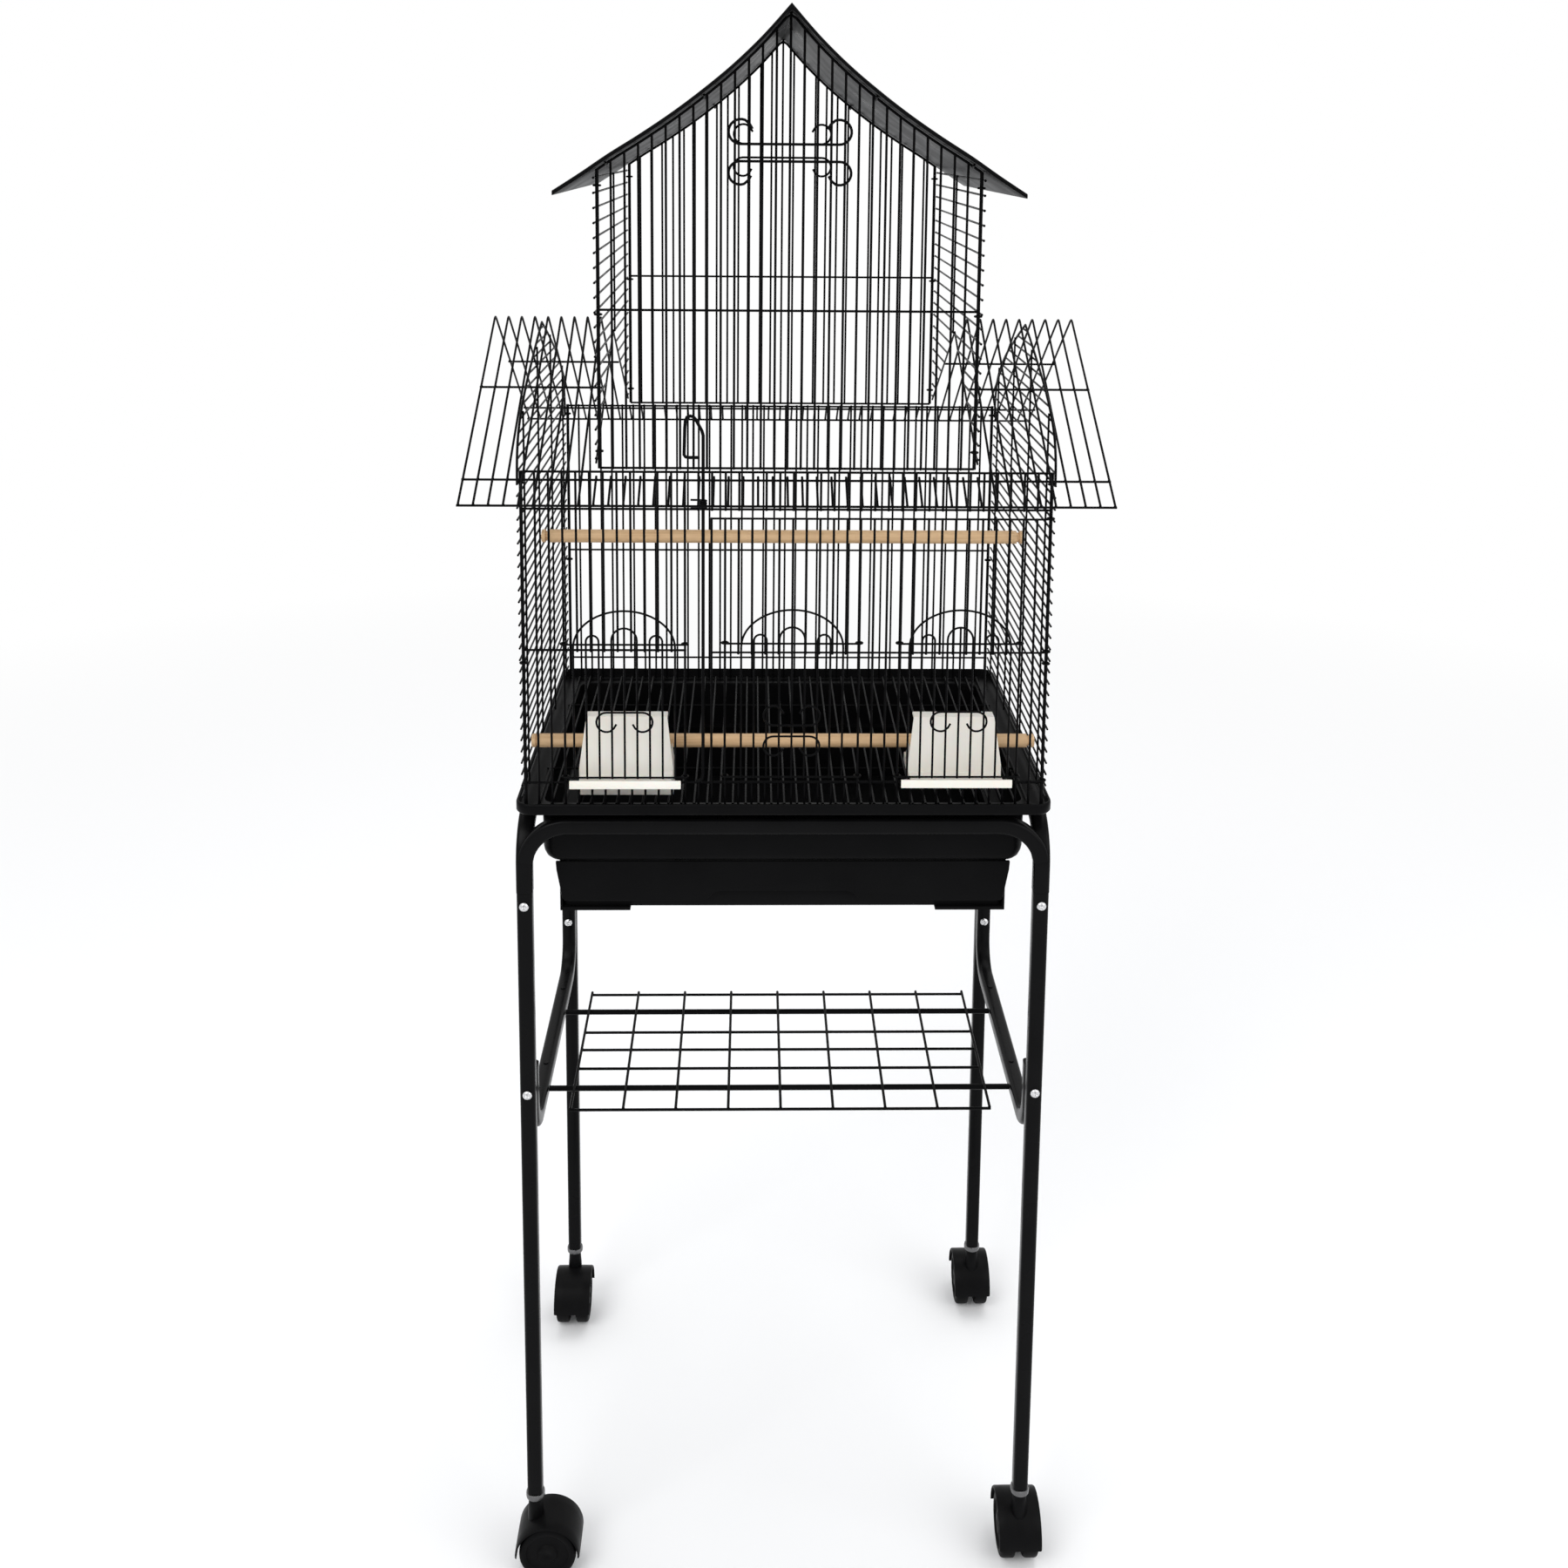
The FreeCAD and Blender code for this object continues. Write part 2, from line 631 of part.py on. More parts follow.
# ---------------------------------------------------------------- lower cage
def wall_panel(name, end):
    """Front or back wall of the lower cage: two corner posts, upright wires and cross wires."""
    body = new_body(name)
    plane = "%d * cage_half_depth" % end
    inner = "%d * (cage_half_depth - 2 * wire_radius + weld)" % end
    middle = "(wire_foot + top_wire) / 2"
    tall = "top_wire - wire_foot"
    wire(body, "X", "0", inner, "bottom_wire", "2 * cage_half_width", "wire_radius")
    first = wire(body, "Z", "front_wire_pitch - cage_half_width", plane, middle, tall, "wire_radius")
    row_of(body, first, "X", "front_wire_pitch", "front_wire_count")
    for side in (-1, 1):
        wire(body, "Z", "%d * cage_half_width" % side, plane, middle, tall, "post_radius")
    wire(body, "X", "0", inner, "top_wire - wire_radius", "2 * cage_half_width", "wire_radius")
    if end > 0:
        wire(body, "X", "0", inner, "middle_wire", "2 * cage_half_width", "wire_radius")
        return
    wire(body, "X", "0", inner, "upper_wire", "2 * cage_half_width", "wire_radius")
    last = "(12 * front_wire_pitch)"
    wire(body, "X", last + " / 2 - cage_half_width", inner, "middle_wire", last + " + 2 * wire_radius",
         "wire_radius")
    pitch = size("front_wire_pitch")
    left = -size("cage_half_width")
    low = size("bottom_wire") + 1.2
    doorway = (left + 12.5 * pitch, -left - 6, low, size("upper_wire") - 1.2)
    hatch = (left + 3.5 * pitch, left + 11.5 * pitch, low, size("middle_wire") - 1.2)
    for x0, x1, z0, z1 in (doorway, hatch):
        cut_outline(body, "XZ_Plane", [(x0, z0), (x1, z0), (x1, z1), (x0, z1)], "-1 * cage_half_depth", "8")


def gable_edge():
    """Half outline of the pointed gable: distance from the middle, and height."""
    foot, top = size("gable_foot"), size("gable_top")
    tall = top - foot
    shape = [(1.0, 0.0), (0.985, 0.17), (0.93, 0.33), (0.82, 0.47), (0.64, 0.62), (0.42, 0.76), (0.2, 0.89),
             (0.0, 1.0)]
    return [(size("cage_half_depth") * a, foot + tall * b) for a, b in shape]


def side_panel(name, side):
    """Side wall of the lower cage: close level wires, a few uprights and a pointed gable."""
    body = new_body(name)
    plane = "%d * (cage_half_width + side_offset)" % side
    inner = "%d * (cage_half_width + side_offset - 2 * fine_wire_radius + weld)" % side
    reach = "(side_wire_start + side_wire_pitch * (side_wire_count - 1) + 2)"
    wire(body, "Z", inner, "-1 * side_upright_far", "(side_wire_start - 2 + %s) / 2" % reach,
         "%s - side_wire_start + 2" % reach, "fine_wire_radius")
    first = wire(body, "Y", plane, "0", "side_wire_start", "2 * cage_half_depth + 4", "fine_wire_radius")
    row_of(body, first, "Z", "side_wire_pitch", "side_wire_count")
    for y in ("-1 * side_upright_near", "side_upright_near", "side_upright_far"):
        wire(body, "Z", inner, y, "(side_wire_start - 2 + %s) / 2" % reach, "%s - side_wire_start + 2" % reach,
             "fine_wire_radius")
    edge = gable_edge()
    far = size("cage_half_depth") + 20
    high = size("gable_top") + 40
    outside = [(0, size("gable_top"))] + edge[::-1][1:] + [(far, size("gable_foot")), (far, high), (0, high)]
    for mirror in (-1, 1):
        cut_outline(body, "YZ_Plane", [(mirror * y, z) for y, z in outside], plane, "8")
    path = [(-y, z) for y, z in edge] + edge[::-1][1:]
    strip(body, "YZ_Plane", path, 2.2, plane, "2 * fine_wire_radius + 0.2")


def front_door():
    """The large door: uprights, three level wires and the rings that turn on the corner post."""
    body = new_body("front_door")
    plane = "-1 * door_plane"
    inner = "-1 * (door_plane - 2 * wire_radius + weld)"
    wide = "(cage_half_width - door_left + wire_radius)"
    middle = "(cage_half_width + door_left - wire_radius) / 2"
    wire(body, "X", middle, inner, "door_bottom", wide, "wire_radius")
    first = wire(body, "Z", "door_left", plane, "(door_bottom + door_top) / 2", "door_top - door_bottom + 2",
                 "wire_radius")
    row_of(body, first, "X", "door_wire_pitch", "door_wire_count")
    for z in ("middle_wire", "door_top"):
        wire(body, "X", middle, inner, z, wide, "wire_radius")
    for z in ("door_bottom", "middle_wire", "door_top"):
        ring = new_sketch(body, "XY_Plane", "cage_half_width", "-1 * cage_half_depth", z)
        draw_circle(ring, "hinge_ring_radius")
        pad(body, ring, "2 * wire_radius - 0.2")
    bore = new_sketch(body, "XY_Plane", "cage_half_width", "-1 * cage_half_depth", "middle_wire")
    draw_circle(bore, "post_radius + hinge_gap")
    pocket(body, bore, "300")
    pitch = size("door_wire_pitch")
    left = size("door_left")
    low = size("door_bottom") + 1.2
    high = size("middle_wire") - 1.2
    for a, b in ((1.5, 10.5), (14.5, 22.5)):
        x0 = left + a * pitch
        x1 = left + b * pitch
        cut_outline(body, "XZ_Plane", [(x0, low), (x1, low), (x1, high), (x0, high)], plane, "8")


def scroll(half, drop, foot):
    """One scroll bar: a level bar whose ends curl over and hook back inwards."""
    curl = drop / 2.0
    right = bend((half - curl, foot - curl), curl, 90, -100, 10)
    hook = [(half - 2 * curl, foot - 1.25 * drop * 0.75)]
    end = [(half - 1.9 * curl, foot - 0.62 * drop)]
    path = [(0, foot)] + right + hook + end
    return [(-x, z) for x, z in path[::-1]][:-1] + path


def add_scroll(body, x, z, half, drop, along, upward):
    """Welds a scroll on, curling down or up."""
    path = [(x + a, z + (-(b - 0) if upward else b)) for a, b in scroll(half, drop, 0)]
    strip(body, "XZ_Plane", path, 2.0, along, "2 * fine_wire_radius")


def sliding_door(name, x, guides, plane, lift, grip):
    """Guillotine door: arched top, rings on two upright wires, and a scroll to lift it by."""
    body = new_body(name)
    level = "-1 * (%s + wire_radius + 0.6 + fine_wire_radius)" % plane
    bars = "-1 * (%s + wire_radius + 0.6 + 3 * fine_wire_radius - weld)" % plane
    low = "(slide_bottom + %g)" % lift
    high = "(slide_bottom + %g + slide_guide_rise)" % lift
    span = guides[1] - guides[0]
    middle = (guides[0] + guides[1]) / 2.0
    wire(body, "X", str(middle), level, low, str(span), "fine_wire_radius")
    first = wire(body, "Z", "%g - slide_wire_pitch * (slide_wire_count - 1) / 2" % x, bars,
                 "(%s + %s + slide_arch_rise) / 2" % (low, low), "slide_arch_rise", "fine_wire_radius")
    row_of(body, first, "X", "slide_wire_pitch", "slide_wire_count")
    wire(body, "X", str(middle), level, high, str(span), "fine_wire_radius")
    half = size("slide_wire_pitch") * (size("slide_wire_count") - 1) / 2
    base = size("slide_bottom") + lift
    shoulder = base + size("slide_shoulder_rise")
    rise = size("slide_arch_rise") - size("slide_shoulder_rise")
    arc = [(half * math.cos(math.radians(a)), shoulder + rise * math.sin(math.radians(a)))
           for a in range(0, 91, 9)]
    for mirror in (-1, 1):
        away = [(x + mirror * a, b) for a, b in arc]
        away += [(x, base + 200), (x + mirror * (half + 5), base + 200), (x + mirror * (half + 5), shoulder)]
        cut_outline(body, "XZ_Plane", away, bars, "2.4")
    path = [(x + half, base)] + [(x + a, b) for a, b in arc] + [(x - a, b) for a, b in arc[::-1]][1:]
    strip(body, "XZ_Plane", path + [(x - half, base)], 2.1, bars, "2 * fine_wire_radius + 0.2")
    for guide in guides:
        for z in (low, high):
            ring = new_sketch(body, "XY_Plane", str(guide), "-1 * " + plane, z)
            draw_circle(ring, "hinge_ring_radius")
            pad(body, ring, "2 * fine_wire_radius + 0.2")
        bore = new_sketch(body, "XY_Plane", str(guide), "-1 * " + plane, high)
        draw_circle(bore, "ring_bore")
        pocket(body, bore, "400")
    front = "-1 * (%s + wire_radius + 0.6 + 5 * fine_wire_radius - 2 * weld)" % plane
    if grip == "lift":
        add_scroll(body, x, base + 58.5, 23.5, 17.0, front, False)
    else:
        add_scroll(body, x, base + 46.5, 23.5, 17.0, front, True)
        add_scroll(body, x, base + 37.0, 23.5, 17.0, front, False)


def latch_rod():
    """Upright rod with a closed handle to one side; its foot hooks beside the door."""
    body = new_body("latch_rod")
    wire(body, "Z", "latch_x", "latch_y", "(latch_foot + latch_top) / 2", "latch_top - latch_foot",
         "latch_rod_radius")
    x = size("latch_x")
    top = size("latch_top")
    wide = size("latch_handle_width")
    drop = size("latch_handle_drop")
    loop = [(x, top - 2), (x - 1, top + 4), (x - 6.2, top + 13.5), (x - 8.4, top + 15.8), (x - 11, top + 16.2)]
    loop += [(x - 13.2, top + 15.2), (x - 14.5, top + 12.2), (x - wide, top + 6), (x - wide - 0.6, top - drop + 3)]
    loop += [(x - wide + 0.6, top - drop + 0.6), (x - wide + 3, top - drop), (x - 0.8, top - drop)]
    strip(body, "XZ_Plane", loop, 2.4, "latch_y", "2.4")
    foot = size("latch_foot")
    hook = [(x, foot + 2), (x, foot - 3), (x - 3, foot - 6), (x - 7, foot - 5)]
    strip(body, "XZ_Plane", hook, 2.4, "latch_y", "2.4")


def latch_clip():
    """The ring on the front wall that the latch rod slides in."""
    body = new_body("latch_clip")
    ring = new_sketch(body, "XY_Plane", "latch_x", "latch_y", "upper_wire + 6")
    draw_circle(ring, "latch_rod_radius + 1.5")
    pad(body, ring, "10")
    block(body, "latch_x - 1.5", "-1 * (cage_half_depth + wire_radius + seat_gap + 0.6)", "upper_wire + 6", "12",
          "1.2", "10")
    bore = new_sketch(body, "XY_Plane", "latch_x", "latch_y", "upper_wire + 6")
    draw_circle(bore, "latch_rod_radius + running_gap")
    pocket(body, bore, "20")


def feeder_cup(name, x, shelf, lip_y, drop):
    """Hooded seed cup: the cup and hood inside, a lip over the bottom wire outside."""
    body = new_body(name)
    half = size("cup_half_width")
    front, back = size("cup_front"), size("cup_back")
    low = shelf - drop
    wall = size("cup_wall")
    top = size("hood_top")
    outline = [(front, low), (back, low), (back, shelf + 6), (back - 13, shelf + 6), (back - 13, top),
               (front + 9, top), (front, shelf + 6)]
    sketch = new_sketch(body, "YZ_Plane", "0", "0", str(x))
    draw_loop(sketch, outline)
    pad(body, sketch, "2 * cup_half_width")
    room = [(front + wall, low + wall), (back - wall, low + wall), (back - wall, shelf + 7),
            (back - 12, shelf + 7), (back - 12, top - wall), (front + 9 + wall * 0.8, top - wall),
            (front + wall, shelf + 6)]
    sketch = new_sketch(body, "YZ_Plane", "0", "0", str(x))
    draw_loop(sketch, room)
    pocket(body, sketch, "2 * (cup_half_width - cup_wall)")
    taper = [(half + 1, shelf + 8), (half, shelf + 8), (half - 5.5, top), (half - 5.5, top + 1), (half + 1, top + 1)]
    for mirror in (-1, 1):
        cut_outline(body, "XZ_Plane", [(x + mirror * a, b) for a, b in taper], str((front + back) / 2), "60")
    block(body, str(x), str((front + 1 + lip_y) / 2), str(shelf + 0.9), "2 * (cup_half_width - 1)",
          str(front + 1 - lip_y), "1.8")
    block(body, str(x), str(lip_y + 0.9), str(shelf + 1.8 - 3.6), "2 * cup_lip_half_width", "1.8", "7.2")


def perch(name, y, z):
    """Plain dowel with a groove cut round each end."""
    body = new_body(name)
    end = size("cage_half_width") + size("side_offset") - size("fine_wire_radius") - size("seat_gap")
    radius = size("perch_radius")
    neck = radius - 1.6
    side = [(0, -end), (radius, -end), (radius, 3.5 - end), (neck, 3.5 - end), (neck, 6.5 - end),
            (radius, 6.5 - end)]
    points = side + [(r, -h) for r, h in side[::-1]]
    sketch = new_sketch(body, "XZ_Plane", "0", z, y)
    draw_loop(sketch, [(h, r) for r, h in points])
    feature = body.newObject("PartDesign::Revolution", body.Label + "_turned")
    feature.Profile = sketch
    feature.ReferenceAxis = (sketch, ["H_Axis"])
    feature.Angle = 360.0


# ---------------------------------------------------------------- lower roof
def roof_height(y):
    return size("ridge") - size("roof_slope") * abs(y)


def roof_wing(name, side):
    """One overhanging half of the lower roof: bent wires over the ridge and the wires that tie them."""
    body = new_body(name)
    deep = size("roof_half_depth")
    under = "(ridge - roof_slope * %s - 2 * wire_radius)"
    wide = "wing_outer_end - wing_inner_end"
    middle = "%d * (wing_outer_end + wing_inner_end) / 2" % side
    high_z = under % "roof_wire_high"
    wire(body, "X", middle, "-1 * roof_wire_high", high_z, wide, "wire_radius")
    sketch = new_sketch(body, "YZ_Plane", "0", "0", "%d * wing_first - %d * wing_pitch * (wing_count - 1)"
                        % (side, 1 if side < 0 else 0))
    path = [(-deep, roof_height(deep)), (0, size("ridge")), (deep, roof_height(deep))]
    draw_loop(sketch, band(path, 1.9))
    first = pad(body, sketch, "2 * wire_radius")
    row_of(body, first, "X", "wing_pitch", "wing_count")
    wire(body, "X", middle, "roof_wire_high", high_z, wide, "wire_radius")
    for y in ("roof_wire_low", "(roof_half_depth - 1)"):
        for sign in (-1, 1):
            inner_end = "(wing_inner_end + 3.9)"
            wire(body, "X", "%d * (wing_outer_end + %s) / 2" % (side, inner_end), "%d * %s" % (sign, y),
                 under % y, "wing_outer_end - " + inner_end, "wire_radius")


def roof_skirt(name, end):
    """The short slope between the wings along the front or the back eave."""
    body = new_body(name)
    under = "(ridge - roof_slope * %s - 2 * wire_radius)"
    wide = "2 * (wing_inner_end + 3.4)"
    wire(body, "X", "0", "%d * roof_wire_low" % end, under % "roof_wire_low", wide, "wire_radius")
    sketch = new_sketch(body, "YZ_Plane", "0", "0", "-1 * wing_pitch * (skirt_wire_count - 1) / 2")
    deep = size("roof_half_depth")
    near = size("roof_wire_low") - 1.5
    draw_loop(sketch, band([(end * deep, roof_height(deep)), (end * near, roof_height(near))], 1.9))
    first = pad(body, sketch, "2 * wire_radius")
    row_of(body, first, "X", "wing_pitch", "skirt_wire_count")
    wire(body, "X", "0", "%d * (roof_half_depth - 1)" % end, under % "(roof_half_depth - 1)", wide,
         "wire_radius")


# ---------------------------------------------------------------- upper house
HAT_LINE = [(0.0, 1404.0), (22.0, 1379.5), (45.0, 1357.5), (68.0, 1338.5), (92.0, 1320.5), (118.0, 1303.0),
            (143.0, 1287.4), (165.0, 1272.5), (187.0, 1258.4)]


def hat_height(x):
    """Height of the plastic roof's upper face at a distance from the middle."""
    for (x0, z0), (x1, z1) in zip(HAT_LINE, HAT_LINE[1:]):
        if x0 <= abs(x) <= x1:
            return z0 + (z1 - z0) * (abs(x) - x0) / (x1 - x0)
    return HAT_LINE[-1][1]


def house_wall(name, end):
    """Front or back wall of the upper house, with its gable and scroll ornament."""
    body = new_body(name)
    plane = "%d * cage_half_depth" % end
    inner = "%d * (cage_half_depth - 2 * wire_radius + weld)" % end
    high = 1392.0
    middle = "(house_foot + %g) / 2" % high
    wire(body, "X", "0", inner, "house_foot", "2 * house_half_width", "wire_radius")
    first = wire(body, "Z", "-1 * house_half_width", plane, middle, "%g - house_foot" % high, "wire_radius")
    row_of(body, first, "X", "house_wire_pitch", "house_wire_count")
    for side in (-1, 1):
        wire(body, "Z", "%d * house_half_width" % side, plane, "(house_foot + 1270) / 2", "1270 - house_foot",
             "post_radius")
    wire(body, "X", "0", inner, "house_middle_wire", "2 * house_half_width", "wire_radius")
    inside = [x for x, z in HAT_LINE if x < size("house_half_width")] + [size("house_half_width")]
    line = [(x, hat_height(x) - (7.6 if x == 0 else 5.6)) for x in inside]
    for mirror in (-1, 1):
        away = [(mirror * x, z) for x, z in line]
        away += [(mirror * 170, line[-1][1]), (mirror * 170, 1420), (0, 1420)]
        cut_outline(body, "XZ_Plane", away, plane, "8")
    path = [(-x, z) for x, z in line[::-1]] + line[1:]
    strip(body, "XZ_Plane", path, 2.2, plane, "2 * wire_radius + 0.2")
    skin = "%d * (cage_half_depth + 2 * wire_radius - weld)" % end
    add_scroll(body, 0, 1295.6, 49.0, 19.5, skin, True)
    add_scroll(body, 0, 1282.0, 49.0, 18.5, skin, False)


def house_side(name, side):
    """Side wall of the upper house: level wires, its foot cut to straddle the lower roof."""
    body = new_body(name)
    plane = "%d * (house_half_width + side_offset)" % side
    inner = "%d * (house_half_width + side_offset - 2 * fine_wire_radius + weld)" % side
    length = "2 * cage_half_depth + 4"
    lowest = "house_side_top - house_side_wire_pitch * (house_side_wire_count - 1)"
    first = wire(body, "Y", plane, "0", lowest, length, "fine_wire_radius")
    row_of(body, first, "Z", "house_side_wire_pitch", "house_side_wire_count")
    wire(body, "Z", inner, "0", "(house_side_apex + house_side_top) / 2",
         "house_side_top - house_side_apex + 4", "fine_wire_radius")
    deep = size("cage_half_depth")
    foot, apex = size("house_side_foot"), size("house_side_apex")
    cut_outline(body, "YZ_Plane", [(-deep, foot), (0, apex), (deep, foot), (deep, foot - 20), (-deep, foot - 20)],
                plane, "8")
    strip(body, "YZ_Plane", [(-deep, foot), (0, apex), (deep, foot)], 1.8, plane, "2 * fine_wire_radius + 0.2")


def plastic_roof():
    """The solid curved roof: one moulded shell with a turned-down edge along both eaves."""
    body = new_body("plastic_roof")
    outline = [(-x, z) for x, z in HAT_LINE[::-1]] + HAT_LINE[1:]
    low = [(x, z - size("hat_wall") * 1.25 - (1.4 if abs(x) < 1 else 0.0)) for x, z in outline]
    sketch = new_sketch(body, "XZ_Plane", "0", "0", "0")
    draw_loop(sketch, outline + low[::-1])
    pad(body, sketch, "2 * hat_half_depth")


for place, (sx, sy) in CORNERS.items():
    leg("leg_" + place, sx, sy)
for place, side in SIDES.items():
    side_frame("side_frame_" + place, side)
for place, end in ENDS.items():
    cross_arch("cross_arch_" + place, end)
for place, side in SIDES.items():
    stretcher("stretcher_" + place, side)
wire_shelf()
stand_screws()
CASTER_TURN = {"front_left": 0.0, "front_right": 90.0, "rear_left": -90.0, "rear_right": 90.0}
for place, (sx, sy) in CORNERS.items():
    caster_socket("caster_socket_" + place, sx, sy)
    caster_yoke("caster_yoke_" + place, sx, sy, CASTER_TURN[place])
    caster_wheels("caster_wheels_" + place, sx, sy, CASTER_TURN[place])
base_tub()
pull_out_tray()
floor_grate()
wall_panel("front_panel", -1)
wall_panel("back_panel", 1)
for place, side in SIDES.items():
    side_panel("side_panel_" + place, side)
front_door()
LEFT = -size("cage_half_width")
PITCH = size("front_wire_pitch")
DOOR_LEFT = size("door_left")
DOOR_PITCH = size("door_wire_pitch")
HATCH_GUIDES = (LEFT + 3 * PITCH, LEFT + 12 * PITCH)
CENTRE_GUIDES = (DOOR_LEFT + DOOR_PITCH, DOOR_LEFT + 11 * DOOR_PITCH)
RIGHT_GUIDES = (DOOR_LEFT + 14 * DOOR_PITCH, DOOR_LEFT + 23 * DOOR_PITCH)
sliding_door("sliding_door_left", sum(HATCH_GUIDES) / 2, HATCH_GUIDES, "cage_half_depth", 0, "lift")
sliding_door("sliding_door_centre", sum(CENTRE_GUIDES) / 2, CENTRE_GUIDES, "door_plane", 3, "scroll")
sliding_door("sliding_door_right", sum(RIGHT_GUIDES) / 2, RIGHT_GUIDES, "door_plane", 3, "lift")
latch_rod()
latch_clip()
feeder_cup("feeder_cup_left", sum(HATCH_GUIDES) / 2, size("bottom_wire") + 2.0, -170.0, 16.0)
feeder_cup("feeder_cup_right", sum(RIGHT_GUIDES) / 2, size("door_bottom") + 1.8, -174.2, 2.0)
perch("perch_upper", "upper_perch_y", "upper_perch_z")
perch("perch_lower", "lower_perch_y", "lower_perch_z")
for place, side in SIDES.items():
    roof_wing("roof_wing_" + place, side)
for place, end in ENDS.items():
    roof_skirt("roof_skirt_" + place, end)
    house_wall("house_" + place, end)
for place, side in SIDES.items():
    house_side("house_side_" + place, side)
plastic_roof()

DOC.recompute()
for item in DOC.Objects:
    if "Invalid" in item.State or "Error" in item.State:
        raise RuntimeError("%s did not compute: %s" % (item.Label, item.State))
os.makedirs("parts", exist_ok=True)
for node in NODES:
    shape = node.Shape
    if shape.isNull() or not shape.isValid() or not shape.Solids:
        raise RuntimeError("%s has no sound shape" % node.Label)
    shape.exportStep(os.path.join("parts", node.Label + ".step"))
    box = shape.BoundBox
    print("%-26s solids %d  x %.1f..%.1f  y %.1f..%.1f  z %.1f..%.1f" % (
        node.Label, len(shape.Solids), box.XMin, box.XMax, box.YMin, box.YMax, box.ZMin, box.ZMax))
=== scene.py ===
import math
import bmesh
import bpy
from mathutils import Matrix, Vector


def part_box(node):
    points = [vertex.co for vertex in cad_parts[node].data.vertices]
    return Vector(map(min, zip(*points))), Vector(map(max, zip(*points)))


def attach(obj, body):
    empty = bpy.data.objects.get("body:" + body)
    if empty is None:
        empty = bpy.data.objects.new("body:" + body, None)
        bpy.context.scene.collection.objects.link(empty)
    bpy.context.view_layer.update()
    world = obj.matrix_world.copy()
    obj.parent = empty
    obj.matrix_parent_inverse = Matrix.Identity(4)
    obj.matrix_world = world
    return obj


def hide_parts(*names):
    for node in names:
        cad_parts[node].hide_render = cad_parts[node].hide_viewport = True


bl_info = {
    "name": "Bird Cage on Stand",
    "version": (1, 0, 0),
    "blender": (4, 5, 0),
    "location": "3D View > Sidebar > Bird Cage",
    "description": "Builds the visible pieces of a wire bird cage on a rolling stand",
    "category": "Object",
}

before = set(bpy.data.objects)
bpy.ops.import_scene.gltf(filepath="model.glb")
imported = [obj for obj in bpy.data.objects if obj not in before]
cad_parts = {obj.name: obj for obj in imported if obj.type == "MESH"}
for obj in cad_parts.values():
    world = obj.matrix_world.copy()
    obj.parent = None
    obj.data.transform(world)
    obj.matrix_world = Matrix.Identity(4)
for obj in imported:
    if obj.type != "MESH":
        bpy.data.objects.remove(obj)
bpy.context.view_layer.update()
MM = 0.001
CAGE_HALF = 0.219                       # corner posts of the lower cage, from the middle
WALL_Y, WALL_INNER_Y = 0.165, 0.1633    # upright wires of the front and back walls, and their cross wires
WALL_FOOT, WALL_TOP = 0.7363, 1.0293    # ends of the upright wires of the lower walls
WALL_ROWS = (0.7595, 0.876, 1.0283)     # lowest cross wire, sill of the hatches, highest cross wire
WALL_LINTEL = 0.997                     # cross wire over the doors
SIDE_X, SIDE_REACH = 0.2218, 0.167      # level wires of the side walls, and their ends
TIE_RING, TIE_WIRE = 0.0027, 0.0009     # small rings that tie the walls to the corner posts
GUIDE_RING = 0.0026                     # rings of the sliding doors and the latch rod
SIDES = ((-1, "left"), (1, "right"))
ENDS = ((-1, "front"), (1, "back"))
CORNERS = ("front_left", "front_right", "rear_left", "rear_right")
CAMERA_PLACE = (-0.0290, -1.4253, 1.2964)
CAMERA_YAW, CAMERA_PITCH, CAMERA_ROLL = 0.0204, 0.1507, -0.0082


def length(name, description, default):
    """A length setting, in metres."""
    return bpy.props.FloatProperty(name=name, description=description, default=default, unit="LENGTH",
                                   precision=5)


def colour(name, description, default):
    """A colour setting."""
    return bpy.props.FloatVectorProperty(name=name, description=description, default=default, size=3,
                                         subtype="COLOR", min=0.0, max=1.0)


class CageWireSizes(bpy.types.PropertyGroup):
    """Gauges and spacings of the wire walls."""
    wire: length("Wire radius", "Radius of the upright and cross wires", 0.0010)
    fine: length("Fine wire radius", "Radius of the side wall and sliding door wires", 0.0009)
    post: length("Post radius", "Radius of the corner posts", 0.0015)
    sides: bpy.props.IntProperty(name="Wire sides", description="Faces round each wire", default=8, min=3)
    front_pitch: length("Front spacing", "Spacing of the upright wires of the lower cage", 0.0112308)
    side_pitch: length("Side spacing", "Spacing of the level wires of the side walls", 0.010)
    house_pitch: length("House spacing", "Spacing of the upright wires of the upper house", 0.011)
    bead: length("Weld bead", "Radius of the bead where two wires are welded", 0.00135)


class CageStandSizes(bpy.types.PropertyGroup):
    """Sizes of the stand's tubes."""
    tube: length("Tube width", "Width of the square tube", 0.014)
    corner: length("Tube corner", "Radius of the tube's rounded edges", 0.0034)
    bend: length("Bend radius", "Inner radius of the upper bends", 0.030)
    stretcher: length("Stretcher width", "Width of the lower side tubes", 0.0138)


class CageColours(bpy.types.PropertyGroup):
    """Base colours of the finishes."""
    coat: colour("Coating", "Black coating on wire and tube", (0.0020, 0.0020, 0.0022))
    plastic: colour("Plastic", "Black moulded plastic", (0.0024, 0.0024, 0.0026))
    cup: colour("Cups", "Off-white plastic of the feeder cups", (0.84, 0.82, 0.77))
    wood_light: colour("Light wood", "Pale grain of the perches", (0.74, 0.50, 0.28))
    wood_dark: colour("Dark wood", "Dark grain of the perches", (0.50, 0.29, 0.13))
    metal: colour("Bright metal", "Zinc of the screws and caster rings", (0.70, 0.70, 0.71))
    floor: colour("Floor", "Studio floor", (0.97, 0.97, 0.97))


